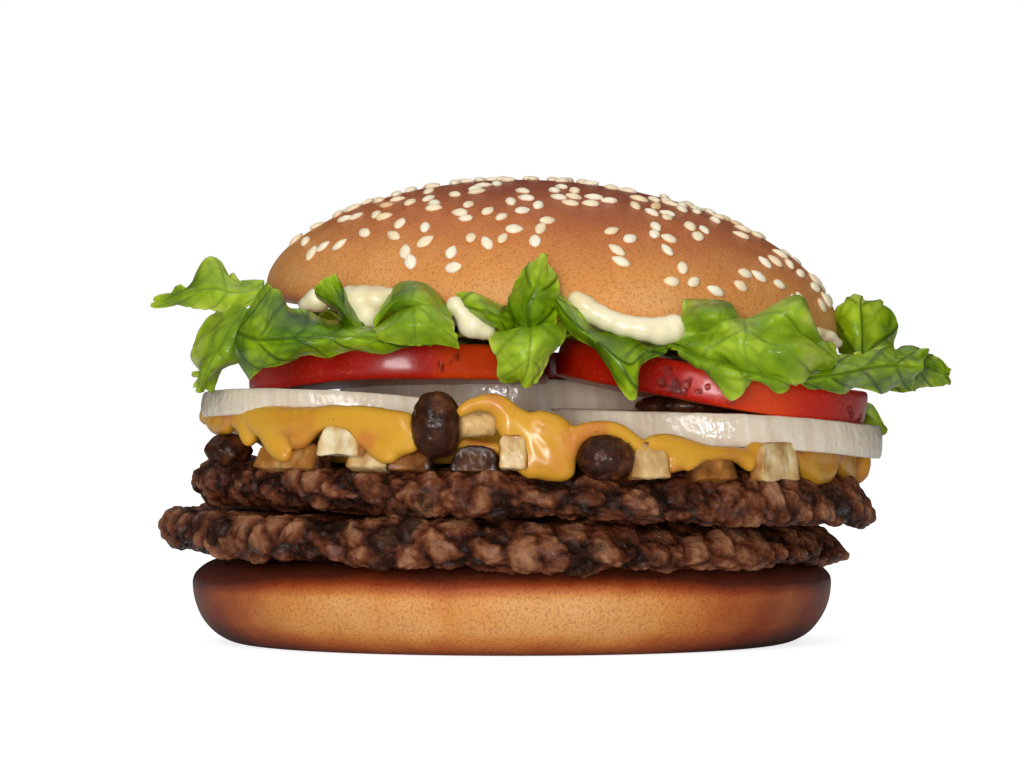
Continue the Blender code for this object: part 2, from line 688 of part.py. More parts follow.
def make_cheese(clear_of):
    """Poured cheese sauce: a pool with runs over its edge, cut round what it lies against."""
    profile = disc_profile(CHEESE_RADIUS, 1.0, 2.2, 3)
    pool = turned_mesh(ringed(profile, CHEESE_RADIUS * 0.84), CHEESE_STEPS)
    floor = PATTIES["patty_upper"]["centre"][2] + PATTY_THICKNESS / 2 + 0.75
    runs = cheese_runs()

    def pour(point, normal):
        azimuth = math.atan2(point.y, point.x)
        edge = max(0.0, math.hypot(point.x, point.y) / CHEESE_RADIUS - 0.84) / 0.16
        down, up, out = 0.0, 0.0, 0.0
        for middle, half, run_down, run_up, run_out in runs:
            apart = abs(math.remainder(azimuth - middle, 2 * math.pi)) * CHEESE_RADIUS
            share = math.cos(math.pi / 2 * min(1.0, apart / (1.4 * half))) ** 2
            down, up, out = down + run_down * share, up + run_up * share, out + run_out * share
        reach = 1 + edge * out / CHEESE_RADIUS
        x, y = point.x * reach + CHEESE_SHIFT, point.y * reach
        top = cheese_top(x, y)
        rim_top, rim_floor = top + up, top - CHEESE_EDGE - down
        low = floor + (rim_floor - floor) * edge
        high = top + (rim_top - top) * edge
        return Vector((x, y, low + (high - low) * (point.z + 0.5)))

    return cut(moved(pool, pour), clear_of)


def blade_width(s, sharp):
    """Width of a leaf along its spine, as a share of its widest, at s from 0 root to 1 tip."""
    widest = 0.55
    if s < widest:
        return 0.45 + 0.55 * math.sin(math.pi / 2 * s / widest)
    return max(0.1, (1 - ((s - widest) / (1 - widest)) ** 2) ** sharp)


def leaf_point(leaf, s, t):
    """Point of a leaf's middle surface, s along the spine and t from -1 to 1 across it."""
    root, knee, tip = (Vector(leaf[key]) for key in ("root", "knee", "tip"))
    spine = root * (1 - s) ** 2 + knee * 2 * s * (1 - s) + tip * s**2
    along = ((knee - root) * (1 - s) + (tip - knee) * s).normalized()
    outward = Vector((spine.x, spine.y, 0)).normalized()
    side = Vector((0, 0, 1)).cross(outward)
    side = (side - along * side.dot(along)).normalized()
    side = Matrix.Rotation(math.radians(leaf["roll"]) * min(1, 2 * s), 3, along) @ side
    face = along.cross(side)
    half = leaf["width"] / 2 * blade_width(s, leaf["sharp"])
    wave = math.sin(2 * math.pi * leaf["waves"] * s + (0.8 if t > 0 else 3.4))
    lift = leaf["fold"] * abs(t) * half + leaf["ruffle"] * t * t * s * wave
    return spine + side * half * t + face * lift


def leaf_sheet(leaf):
    """Thin closed leaf, both faces split into triangles alike."""
    bm = bmesh.new()
    bmesh.ops.create_grid(bm, x_segments=LEAF_COLUMNS, y_segments=LEAF_ROWS, size=1.0)
    for vertex in bm.verts:
        vertex.co = leaf_point(leaf, (vertex.co.y + 1) / 2, vertex.co.x) * MM
    return thickened(bm)


def thickened(bm):
    """Leaf-thin solid of an open sheet; the sheet's bmesh is freed."""
    bmesh.ops.triangulate(bm, faces=bm.faces)
    mesh = bpy.data.meshes.new("sheet")
    bm.to_mesh(mesh)
    bm.free()
    sheet = add_object("sheet", mesh, bpy.context.scene.collection)
    wall = sheet.modifiers.new("Wall", "SOLIDIFY")
    wall.thickness = LEAF_THICKNESS * MM
    wall.offset = 0.0
    return take_mesh(sheet)


def rear_leaves():
    """Leaves of the side that the front view hides, flaring up and hanging down in turn."""
    draw = random.Random(REAR_LEAF_DRAW)
    made = {}
    for i in range(REAR_LEAVES):
        azimuth = math.radians(REAR_LEAF_START + (REAR_LEAF_END - REAR_LEAF_START) * i / (REAR_LEAVES - 1))
        ray = Vector((math.cos(azimuth), math.sin(azimuth), 0))
        up = i % 2 == 1
        middle = Vector((CROWN_CENTRE[0] - 2, 0, crown_underside(CROWN_CENTRE[0] + ray.x * 48)))
        root = middle + ray * 44 + Vector((0, 0, -1.6 if up else -2.6))
        knee = middle + ray * 58 + Vector((0, 0, -2.2 if up else 0.0))
        reach = draw.uniform(59, 61) if up else draw.uniform(61, 64)
        rise = draw.uniform(7.0, 10.0) if up else -draw.uniform(9.0, 12.0)
        tip = middle + ray * reach + Vector((0, 0, rise))
        made[f"leaf_rear_{i + 1}"] = {
            "root": tuple(root),
            "knee": tuple(knee),
            "tip": tuple(tip),
            "width": draw.uniform(15, 19),
            "roll": draw.uniform(-14, 14),
            "fold": draw.uniform(-0.1, 0.25),
            "ruffle": draw.uniform(1.0, 1.6),
            "waves": draw.uniform(1.3, 2.0),
            "sharp": draw.uniform(0.45, 1.0),
        }
    return made


def bed_height(x):
    """Height of the hidden lettuce under the crown, which slides down over the right tomato."""
    return 57.4 if x < 6 else 57.4 - 0.125 * (x - 6)


def make_bed():
    """Lettuce that runs through the burger under the crown: a thin round with a wavy rim."""
    bm = bmesh.new()
    bmesh.ops.create_circle(bm, cap_ends=True, cap_tris=True, radius=1.0, segments=BED_STEPS)
    bmesh.ops.subdivide_edges(bm, edges=[edge for edge in bm.edges if not edge.is_boundary], cuts=1)
    for vertex in bm.verts:
        azimuth = math.atan2(vertex.co.y, vertex.co.x)
        out = BED_RADIUS * vertex.co.length * (1 + 0.03 * math.sin(9 * azimuth))
        x, y = out * math.cos(azimuth) + BED_SHIFT, out * math.sin(azimuth)
        room = crown_underside(x) - bed_height(x) - 2 * LEAF_THICKNESS
        wave = room * (0.5 + 0.5 * math.sin(7 * azimuth)) * vertex.co.length**3
        vertex.co = Vector((x, y, bed_height(x) + wave)) * MM
    return thickened(bm)


def mayonnaise_shapes():
    """The pool under the crown and the lobes squeezed out at its rim, before they are joined."""
    pool = turned_mesh(disc_profile(SAUCE_RADIUS, 1.0, 0.5, 2), SAUCE_STEPS)

    def spread(point, normal):
        azimuth = math.atan2(point.y, point.x)
        out = 1 + 0.03 * math.sin(7 * azimuth + 1.0)
        x, y = point.x * out + SAUCE_SHIFT, point.y * out
        top = crown_underside(x) - 0.5
        bottom = max(bed_height(x) + LEAF_THICKNESS / 2 + AIR, top - SAUCE_DEPTH)
        return Vector((x, y, bottom + (top - bottom) * (point.z + 0.5)))

    return [moved(pool, spread)] + [ball(centre, half) for centre, half in MAYO_LOBES.values()]


def build():
    clear_scene()
    materials = {name: make_material(name) for name in COLOURS}
    burger = make_collection("double_cheeseburger")
    made = {}

    def keep(name, mesh, material):
        made[name] = mesh
        add_object(name, mesh, burger, materials[material])

    keep("bun_bottom", make_heel(), "bun")
    for name, spec in PATTIES.items():
        keep(name, make_patty(spec), "beef")
    for number, (name, spec) in enumerate(ONIONS.items()):
        keep(name, make_slice(spec, ONION_STEPS, 1.0, number), "onion")
    for number, (name, spec) in enumerate(TOMATOES.items()):
        keep(name, make_slice(spec, TOMATO_STEPS, 1.1, number + 3), "tomato")

    fixed = [rough_cutter(made["patty_upper"])] + [made[name] for name in (*ONIONS, *TOMATOES)]
    mushrooms = []
    for name, spec in MUSHROOM_CAPS.items():
        mesh = cut(make_cap(spec), fixed)
        keep(name, mesh, "mushroom")
        mushrooms.append(mesh)
    for name, (centre, width, height, facing, tilt) in MUSHROOM_SLICES.items():
        mesh = cut(make_mushroom_slice(centre, width, height, facing, tilt), fixed + mushrooms)
        keep(name, mesh, "mushroom_cut")
        mushrooms.append(mesh)
    keep("cheese_sauce", make_cheese(fixed + mushrooms), "cheese")

    keep("bun_top", make_seeded_crown(), "bun")
    bare_crown = make_crown()
    keep("lettuce_bed", make_bed(), "lettuce")
    round_mayo = [bare_crown, made["lettuce_bed"]] + [made[name] for name in TOMATOES]
    shapes = mayonnaise_shapes()
    keep("mayonnaise", cut(boolean(shapes[0].copy(), shapes[1:], "UNION"), round_mayo), "mayonnaise")
    round_leaves = round_mayo + shapes + [made[name] for name in ONIONS]
    for name, leaf in {**LEAVES, **rear_leaves()}.items():
        keep(name, cut(leaf_sheet(leaf), round_leaves), "lettuce")
        round_leaves.append(leaf_sheet(leaf))


build()
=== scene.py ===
import math
import random

import bmesh
import bpy
from mathutils import Matrix, Vector, noise
from mathutils.bvhtree import BVHTree


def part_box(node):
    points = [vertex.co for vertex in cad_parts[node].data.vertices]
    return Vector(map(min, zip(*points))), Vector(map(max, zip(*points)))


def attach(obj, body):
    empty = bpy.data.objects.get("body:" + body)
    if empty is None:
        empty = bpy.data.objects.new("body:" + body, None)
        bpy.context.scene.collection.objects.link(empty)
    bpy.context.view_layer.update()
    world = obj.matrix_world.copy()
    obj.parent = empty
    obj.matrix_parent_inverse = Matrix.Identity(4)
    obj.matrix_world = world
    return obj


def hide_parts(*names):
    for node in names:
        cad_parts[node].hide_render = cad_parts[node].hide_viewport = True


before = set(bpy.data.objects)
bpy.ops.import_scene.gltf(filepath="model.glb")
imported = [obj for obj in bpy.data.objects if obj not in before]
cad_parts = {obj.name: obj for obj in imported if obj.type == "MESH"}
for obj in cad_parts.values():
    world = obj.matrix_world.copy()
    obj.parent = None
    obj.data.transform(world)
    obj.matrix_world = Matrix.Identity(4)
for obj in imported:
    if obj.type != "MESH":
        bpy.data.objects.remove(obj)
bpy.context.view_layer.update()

# Double cheeseburger with fried mushrooms, finished for a studio picture.
# Sizes are millimetres; the burger stands on its bottom bun, front towards -Y.
mm = 0.001

# camera: level with the middle of the burger, a long lens well back
view = {"distance": 950.0, "height": 48.6, "pixelsFocal": 5035.0, "middleX": 512.0, "middleY": 384.0}
bpy.ops.object.camera_add(location=(0, -view["distance"] * mm, view["height"] * mm),
                          rotation=(math.pi / 2, 0, 0))
camera = bpy.context.object
camera.data.sensor_width = 36.0
camera.data.lens = view["pixelsFocal"] / (2 * view["middleX"]) * 36.0
camera.data.clip_end = 20
bpy.context.scene.camera = camera
bpy.context.scene.view_settings.view_transform = "Standard"


def fromPicture(px, py, depth):
    # the point that shows at that place of the picture, depth millimetres behind the middle
    reach = (view["distance"] + depth) / view["pixelsFocal"]
    return Vector(((px - view["middleX"]) * reach, depth, view["height"] + (view["middleY"] - py) * reach))


# small helpers for materials
def linear(hexColour):
    # sRGB hex to the linear colour that nodes take
    shares = [int(hexColour[i:i + 2], 16) / 255 for i in (1, 3, 5)]
    return tuple([s / 12.92 if s <= 0.04045 else ((s + 0.055) / 1.055) ** 2.4 for s in shares] + [1.0])


def perMm(size):
    # texture scale for a pattern of that many millimetres, on Object coordinates in metres
    return 1000.0 / size


def addNode(tree, kind, settings=None, links=None):
    node = tree.nodes.new(kind)
    for key, value in (settings or {}).items():
        if key == "stops":
            ramp = node.color_ramp
            while len(ramp.elements) < len(value):
                ramp.elements.new(1.0)
            for element, (place, colour) in zip(ramp.elements, value):
                element.position = place
                element.color = linear(colour) if isinstance(colour, str) else (colour,) * 3 + (1.0,)
        elif isinstance(key, int) or key in node.inputs:
            node.inputs[key].default_value = value
        else:
            setattr(node, key, value)
    for key, source in (links or {}).items():
        tree.links.new(source, node.inputs[key])
    return node


def newMaterial(name, settings):
    material = bpy.data.materials.new(name)
    material.use_nodes = True
    tree = material.node_tree
    shader = tree.nodes["Principled BSDF"]
    for key, value in settings.items():
        shader.inputs[key].default_value = value
    place = addNode(tree, "ShaderNodeTexCoord").outputs["Object"]
    return material, tree, shader, place


def speckle(tree, place, size, detail=2.0, roughness=0.5, distortion=0.0):
    # soft noise with features of that many millimetres
    node = addNode(tree, "ShaderNodeTexNoise", {"Scale": perMm(size), "Detail": detail, "Roughness": roughness,
                                                "Distortion": distortion}, {"Vector": place})
    return node.outputs["Fac"]


def tones(tree, share, stops):
    return addNode(tree, "ShaderNodeValToRGB", {"stops": stops}, {"Fac": share}).outputs["Color"]


def marked(tree, name):
    # a value that the mesh's points carry
    return addNode(tree, "ShaderNodeAttribute", {"attribute_name": name}).outputs["Fac"]


def added(tree, value, share, base):
    return addNode(tree, "ShaderNodeMath", {"operation": "MULTIPLY_ADD", 1: share}, {0: value, 2: base}).outputs[0]


def layered(tree, share, under, over, blend="MIX"):
    # lays over on under by that share; a plain colour is given as hex
    settings, links = {"data_type": "RGBA", "blend_type": blend}, {6: under}
    if isinstance(share, float):
        settings[0] = share
    else:
        links[0] = share
    if isinstance(over, str):
        settings[7] = linear(over)
    else:
        links[7] = over
    return addNode(tree, "ShaderNodeMix", settings, links).outputs[2]


def bumps(tree, height, strength, distance, under=None):
    # relief in the shading, its distance in millimetres, on top of another relief
    links = {"Height": height}
    if under:
        links["Normal"] = under
    return addNode(tree, "ShaderNodeBump", {"Strength": strength, "Distance": distance * mm}, links).outputs["Normal"]


def wire(tree, shader, colour, relief, coat=True):
    tree.links.new(colour, shader.inputs["Base Color"])
    tree.links.new(relief, shader.inputs["Normal"])
    if coat:
        tree.links.new(relief, shader.inputs["Coat Normal"])


# small helpers for meshes
def pickNone():
    if bpy.context.object and bpy.context.object.mode != "OBJECT":
        bpy.ops.object.mode_set(mode="OBJECT")
    bpy.ops.object.select_all(action="DESELECT")


def pick(piece):
    pickNone()
    piece.select_set(True)
    bpy.context.view_layer.objects.active = piece


def applyModifiers(piece):
    pick(piece)
    for modifier in list(piece.modifiers):
        bpy.ops.object.modifier_apply(modifier=modifier.name)


def movePoints(piece, move):
    # sends every point to move(point, normal), in millimetres
    mesh = piece.data
    normals = [vertex.normal.copy() for vertex in mesh.vertices]
    for vertex, normal in zip(mesh.vertices, normals):
        vertex.co = move(vertex.co / mm, normal) * mm
    mesh.update()


def storeValues(piece, name, values):
    attribute = piece.data.attributes.new(name, "FLOAT", "POINT")
    attribute.data.foreach_set("value", values)


def remesh(piece, voxel, smoothing=0):
    cage = piece.modifiers.new("Remesh", "REMESH")
    cage.mode = "VOXEL"
    cage.voxel_size = voxel * mm
    if smoothing:
        relax = piece.modifiers.new("Smooth", "SMOOTH")
        relax.factor = 0.5
        relax.iterations = smoothing
    applyModifiers(piece)


def mend(piece, gap=0.0):
    # merges doubles closer than gap metres and turns every face outward
    pick(piece)
    bpy.ops.object.mode_set(mode="EDIT")
    bpy.ops.mesh.select_all(action="SELECT")
    if gap:
        bpy.ops.mesh.remove_doubles(threshold=gap)
    bpy.ops.mesh.normals_make_consistent(inside=False)
    bpy.ops.object.mode_set(mode="OBJECT")
    return piece


def ballMesh(make, **cuts):
    # a primitive ball of radius 1, kept as a mesh to copy from
    pickNone()
    make(radius=1.0, **cuts)
    ball = bpy.context.object
    mesh = ball.data.copy()
    bpy.data.objects.remove(ball)
    return mesh


def addCopy(shape, mesh, put):
    # adds a copy of a mesh to a bmesh, placed by a matrix, and gives its new points
    corners = [shape.verts.new(put @ vertex.co) for vertex in mesh.vertices]
    for polygon in mesh.polygons:
        shape.faces.new([corners[i] for i in polygon.vertices])
    return corners


def joinBalls(piece, ball, spots):
    # joins a ball to the piece at each (middle, half sizes), in millimetres
    shape = bmesh.new()
    shape.from_mesh(piece.data)
    for middle, half in spots:
        addCopy(shape, ball, Matrix.Translation(middle * mm) @ Matrix.Diagonal((*(h * mm for h in half), 1)))
    shape.to_mesh(piece.data)
    shape.free()


def pieceFrom(name, shape):
    mesh = bpy.data.meshes.new(name)
    shape.to_mesh(mesh)
    shape.free()
    piece = bpy.data.objects.new(name, mesh)
    bpy.context.scene.collection.objects.link(piece)
    return piece


def treeOf(piece):
    mesh = piece.data
    return BVHTree.FromPolygons([v.co for v in mesh.vertices], [p.vertices for p in mesh.polygons])


def spunPiece(name, segments, rings, profile):
    # a round piece: a grid wrapped about Z, its rows sent to profile(0 top .. 1 bottom) = radius, height
    pickNone()
    bpy.ops.mesh.primitive_grid_add(x_subdivisions=segments, y_subdivisions=rings, size=2.0)
    piece = bpy.context.object
    piece.name = piece.data.name = name
    for vertex in piece.data.vertices:
        share = (1 - vertex.co.y) / 2
        radius, height = profile(share)
        azimuth = math.pi * vertex.co.x
        if share < 1e-4 or share > 1 - 1e-4:
            radius = 0.0
        vertex.co = Vector((radius * math.cos(azimuth), radius * math.sin(azimuth), height)) * mm
    return mend(piece, 1e-6)


def camel(node):
    words = node.split("_")
    return words[0] + "".join(word.capitalize() for word in words[1:])


def along(points, share):
    # place along a polyline of tuples, by share of its steps
    spot = share * (len(points) - 1)
    i = min(int(spot), len(points) - 2)
    f = spot - i
    return tuple(a + (b - a) * f for a, b in zip(points[i], points[i + 1]))


def curved(points, share):
    # the same on a smooth curve through vectors
    spot = share * (len(points) - 1)
    i = min(int(spot), len(points) - 2)
    f = spot - i
    a, b, c, d = points[max(i - 1, 0)], points[i], points[i + 1], points[min(i + 2, len(points) - 1)]
    return (b * 2 + (c - a) * f + (a * 2 - b * 5 + c * 4 - d) * f * f + (b * 3 - a - c * 3 + d) * f**3) * 0.5


def lump(point, size, draw=0.0):
    return noise.noise(point / size + Vector((draw, draw * 1.7, draw * 0.6)))


def leaning(centre, lean=0.0, nod=0.0):
    turn = Matrix.Rotation(math.radians(lean), 4, "Y") @ Matrix.Rotation(math.radians(nod), 4, "X")
    return Matrix.Translation(Vector(centre) * mm) @ turn


def finishPiece(piece, materials, nodes):
    pick(piece)
    bpy.ops.object.transform_apply(location=True, rotation=True, scale=True)
    bpy.ops.object.shade_smooth()
    if materials:
        piece.data.materials.clear()
        for material in materials:
            piece.data.materials.append(material)
    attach(piece, "root")
    if nodes:
        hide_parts(*nodes)
    return piece


print("camera and helpers ready")

# bread crust: baked dough, brushed with egg. It gives a warm brown with pale grain where the
# skin is thin, and broad soft highlights.
crown = {"radius": 53.6, "rise": 25.8, "lip": 1.3, "centre": (8.3, 0.0, 60.9), "lean": 5.0,
         "segments": 288, "rings": 110}
crust, tree, shader, place = newMaterial("BakedCrust", {
    "Roughness": 0.44, "IOR": 1.36, "Coat Weight": 0.22, "Coat IOR": 1.36, "Specular IOR Level": 0.25,
    "Coat Roughness": 0.22, "Subsurface Weight": 0.05, "Subsurface Radius": (0.004, 0.002, 0.001)})
# the bake value is real browning on the crown, and on the bottom bun it carries painted shade as well; its darkest
# stops show both
bakeAndShadeTone = tones(tree, added(tree, speckle(tree, place, 14, 3.0), 0.30, marked(tree, "bake")), [
    (0.08, "#e8b57a"), (0.30, "#de9850"), (0.50, "#c46f35"), (0.74, "#98401a"), (1.0, "#5c2818")])
grain = speckle(tree, place, 0.5, 3.0, 0.7)
grainTone = tones(tree, grain, [(0.34, "#a8714f"), (0.52, "#ffffff"), (0.68, "#fff4dc")])
crustColour = layered(tree, 0.5, bakeAndShadeTone, grainTone, "MULTIPLY")
crumbColour = layered(tree, marked(tree, "crumb"), crustColour, "#f3e2bd")
skinBump = bumps(tree, grain, 0.45, 0.5)
wire(tree, shader, crumbColour, bumps(tree, speckle(tree, place, 5, 4.0), 0.25, 1.5, skinBump))


def crownProfile(share):
    radius, lip = crown["radius"], crown["lip"]
    if share <= 0.66:
        angle = math.pi / 2 * share / 0.66
        return radius * math.sin(angle), crown["rise"] * math.cos(angle)
    if share <= 0.74:
        angle = math.pi / 2 * (share - 0.66) / 0.08
        return radius - lip + lip * math.cos(angle), -lip * math.sin(angle)
    return (radius - lip) * (1 - share) / 0.26, -lip


bunTop = spunPiece("bunTop", crown["segments"], crown["rings"], crownProfile)
bakeAndShadeValues, crumbValues = [], []
for vertex in bunTop.data.vertices:
    point = vertex.co / mm
    height = point.z / crown["rise"]
    # darkest on the crown's top, paler towards the skirt, and a little darker again at the very rim
    rim = max(0.0, 0.16 - height) / 0.16
    bakeAndShadeValues.append(0.06 + 0.56 * max(0.0, height) ** 1.4 + 0.2 * rim**2)
    crumbValues.append(1.0 if point.z < -crown["lip"] * 0.95 else 0.0)
storeValues(bunTop, "bake", bakeAndShadeValues)
storeValues(bunTop, "crumb", crumbValues)


def swellCrown(point, normal):
    # a little fuller low on its left
    full = 1 + 0.035 * max(0.0, -point.x / crown["radius"]) ** 2 * math.exp(-((point.z - 6) / 9) ** 2)
    swollen = Vector((point.x * full, point.y, point.z)) * (1 + 0.006 * lump(point, 28, 2.0))
    return swollen + normal * 0.12 * lump(point, 6, 1.0)


movePoints(bunTop, swellCrown)
bunTop.data.transform(leaning(crown["centre"], crown["lean"]))

# sesame: hulled seed, pressed into the wet dough and toasted, cream with a faint shine
seeds = {"count": 285, "length": 3.5, "width": 2.25, "thickness": 1.3, "lift": 0.16, "spacing": 2.6,
         "pairing": 0.42, "drift": 3.4, "outmost": 0.972, "draw": 41}
sesame, tree, shader, place = newMaterial("HulledSesame", {
    "Roughness": 0.38, "IOR": 1.47, "Subsurface Weight": 0.25, "Subsurface Radius": (0.001, 0.0007, 0.0004)})
seedTone = tones(tree, marked(tree, "toast"), [
    (0.0, "#fbf0d6"), (0.55, "#f3dcb2"), (0.85, "#dcae74"), (1.0, "#b98048")])
wire(tree, shader, seedTone, bumps(tree, speckle(tree, place, 0.5), 0.15, 0.3), coat=False)


def crownPoint(azimuth, share):
    radius = crown["radius"] * share
    rise = crown["rise"] * math.sqrt(1 - share**2)
    return Vector((radius * math.cos(azimuth), radius * math.sin(azimuth), rise))


def seedSpots():
    draw = random.Random(seeds["draw"])
    spots, points = [], []
    while len(spots) < seeds["count"]:
        if spots and draw.random() < seeds["pairing"]:
            azimuth, share, _ = spots[-1]
            azimuth += draw.uniform(-1, 1) * seeds["drift"] / (crown["radius"] * max(share, 0.1))
            share += draw.uniform(-1, 1) * seeds["drift"] / crown["radius"]
        else:
            azimuth = draw.uniform(0, 2 * math.pi)
            share = math.sqrt(draw.uniform(0.0, 0.95))
        turn = draw.uniform(0, math.pi)
        if not 0.0 <= share < seeds["outmost"]:
            continue
        point = crownPoint(azimuth, share)
        if all((point - other).length > seeds["spacing"] for other in points):
            spots.append((azimuth, share, turn))
            points.append(point)
    return spots


seedMesh = ballMesh(bpy.ops.mesh.primitive_uv_sphere_add, segments=12, ring_count=7)
seedHalf = Vector((seeds["length"], seeds["width"], seeds["thickness"])) / 2
for vertex in seedMesh.vertices:
    x, y, z = vertex.co
    taper = 1 - 0.42 * max(0.0, x) ** 1.3 - 0.08 * max(0.0, -x)
    vertex.co = Vector((x * seedHalf.x, y * taper * seedHalf.y, z * taper * seedHalf.z)) * mm
crustTree = treeOf(bunTop)
toLean = leaning(crown["centre"], crown["lean"])
allSeeds = bmesh.new()
toastLayer = allSeeds.verts.layers.float.new("toast")
draw = random.Random(5)
for azimuth, share, turn in seedSpots():
    spot, normal, _, _ = crustTree.find_nearest(toLean @ (crownPoint(azimuth, share) * mm))
    upright = normal.to_track_quat("Z", "Y").to_matrix().to_4x4()
    wobble = Matrix.Rotation(draw.uniform(-0.16, 0.16), 4, "X") @ Matrix.Rotation(draw.uniform(-0.12, 0.12), 4, "Y")
    size = Matrix.Diagonal((draw.uniform(0.9, 1.1), draw.uniform(0.88, 1.12), draw.uniform(0.85, 1.1), 1))
    stand = Matrix.Translation(spot + normal * seeds["lift"] * mm) @ upright @ Matrix.Rotation(turn, 4, "Z")
    tone = draw.uniform(0.0, 0.5) + (0.3 if draw.random() < 0.08 else 0.0)
    for vertex, corner in zip(seedMesh.vertices, addCopy(allSeeds, seedMesh, stand @ wobble @ size)):
        corner[toastLayer] = tone + 0.6 * max(0.0, vertex.co.x / mm / seedHalf.x - 0.6)
sesameSeeds = pieceFrom("sesameSeeds", allSeeds)
finishPiece(bunTop, [crust], ["bun_top"])
finishPiece(sesameSeeds, [sesame], [])
print("top bun and seeds done")

# bottom bun: baked against a tin, golden in the middle and browner at its top and foot; painted shade darkens its top
# band under the beef and its left and right ends
heel = {"radius": 60.0, "foot": 50.0, "height": 16.4, "widest": 11.5, "segments": 288, "rings": 90}
heelBulge, heelShoulder = heel["radius"] - heel["foot"], heel["height"] - heel["widest"]
heelLine = []
for i in range(41):
    angle = math.radians(90 - 90 * i / 40)
    heelLine.append((heel["foot"] + heelBulge * math.cos(angle), heel["widest"] + heelShoulder * math.sin(angle)))
for i in range(1, 61):
    angle = math.radians(-90 * i / 60)
    heelLine.append((heel["foot"] + heelBulge * math.cos(angle), heel["widest"] * (1 + math.sin(angle))))


def heelProfile(share):
    if share < 0.16:
        return heel["foot"] * share / 0.16, heel["height"]
    if share > 0.84:
        return heel["foot"] * (1 - share) / 0.16, 0.0
    return along(heelLine, (share - 0.16) / 0.68)


bunBottom = spunPiece("bunBottom", heel["segments"], heel["rings"], heelProfile)
bakeAndShadeValues, crumbValues = [], []
for vertex in bunBottom.data.vertices:
    point = vertex.co / mm
    flat = Vector((point.x, point.y, 0)).length
    edgeNoise = 0.10 * lump(point, 16, 3.0) + 0.06 * lump(point, 5, 1.0)
    # the top band is browner crust and also painted shade, darkened for the shadow the beef casts on it
    topBrowningAndShade = max(0.0, min(1.0, (point.z - 10.2) / 4.0))
    fromFoot = max(0.0, min(1.0, (4.6 - point.z) / 4.4))
    # painted shade: the bun's left and right ends, as the camera sees them, are darkened for the light falling off
    # there
    turn = point.x / max(flat, 1.0)
    ends = 0.62 * (max(0.0, turn - 0.38) / 0.62 if turn > 0 else (max(0.0, -turn - 0.62) / 0.38) ** 1.2)
    bakeAndShadeValues.append(0.08 + 0.74 * topBrowningAndShade + 0.36 * fromFoot + ends + edgeNoise)
    crumbValues.append(1.0 if point.z > heel["height"] - 0.15 and flat < 49 else 0.0)
storeValues(bunBottom, "bake", bakeAndShadeValues)
storeValues(bunBottom, "crumb", crumbValues)


def settleHeel(point, normal):
    swell = 1 + 0.008 * lump(Vector((point.x, point.y, 0)), 30, 5.0)
    soft = min(1.0, point.z / 3.0) * (0.22 * lump(point, 9, 2.0) + 0.08 * lump(point, 3, 2.0))
    return Vector((point.x * swell, point.y * swell, point.z)) + normal * soft


movePoints(bunBottom, settleHeel)
finishPiece(bunBottom, [crust], ["bun_bottom"])
print("bottom bun done")

# flame-grilled minced beef: coarse strands set hard on the grill, dark brown with patches of black char, painted shade
# in the creases between strands, and small wet glints of fat
patty = {"radius": 64.0, "thickness": 8.0, "rim": 5.0, "droop": 48.0, "segments": 860, "rings": 104,
         "strand": 6.2, "crumb": 2.5, "bend": 9.0, "draw": 7}
patties = {
    "patty_lower": {"centre": (-1.8, 0.0, 20.95), "sag": (-0.8, 3.0, 4.0),
                   "pinch": 0.45, "draw": 3.0},
    "patty_upper": {"centre": (4.8, 0.0, 29.4), "sag": (-1.8, 1.7, 5.2),
                   "pinch": 0.0, "draw": 11.0},
}
beef, tree, shader, place = newMaterial("GrilledBeef", {
    "IOR": 1.4, "Specular IOR Level": 0.14, "Coat Roughness": 0.06})
fibre = speckle(tree, place, 1.6, 5.0, 0.65)
# painted shade: the crease value darkens the meat in the creases between strands and lightens it on their backs
meatToneAndCreaseShade = tones(tree, added(tree, fibre, 0.5, marked(tree, "crease")), [
    (0.30, "#0c0503"), (0.48, "#2f150b"), (0.68, "#6a3720"), (0.95, "#a5714e")])
charMask = tones(tree, speckle(tree, place, 8, 4.0), [(0.52, 0.0), (0.60, 0.85)])
# the same noise makes the fat's wet spots smooth and gives them their coat
fat = speckle(tree, place, 2.2)
for socket, ends in (("Roughness", (0.40, 0.62, 0.16, 0.5)), ("Coat Weight", (0.53, 0.64, 0.0, 1.0))):
    spread = addNode(tree, "ShaderNodeMapRange", dict(zip(("From Min", "From Max", "To Min", "To Max"), ends)),
                     {"Value": fat})
    tree.links.new(spread.outputs["Result"], shader.inputs[socket])
meatBump = bumps(tree, fibre, 0.9, 1.0)
wire(tree, shader, layered(tree, charMask, meatToneAndCreaseShade, "#190b06"),
     bumps(tree, speckle(tree, place, 0.6, 3.0, 0.7), 0.45, 0.5, meatBump))

pattyRim = []
for i in range(61):
    angle = math.radians(86 - 172 * i / 60)
    pattyRim.append((patty["radius"] - patty["rim"] * (1 - math.cos(angle)), patty["thickness"] / 2 * math.sin(angle)))


def pattyProfile(share):
    inner, outer, top = patty["droop"] - 6, patty["radius"] - patty["rim"], patty["thickness"] / 2
    if share < 0.06:
        return inner * share / 0.06, top
    if share < 0.26:
        return inner + (outer - inner) * (share - 0.06) / 0.20, top
    if share <= 0.74:
        return along(pattyRim, (share - 0.26) / 0.48)
    if share < 0.94:
        return outer - (outer - inner) * (share - 0.74) / 0.20, -top
    return inner * (1 - share) / 0.06, -top


def cells(point, size):
    # 0 in the creases between strands of mince, up to about 1 on their backs
    near = noise.voronoi(point / size)[0]
    return min(1.0, (near[1] - near[0]) * 1.6)


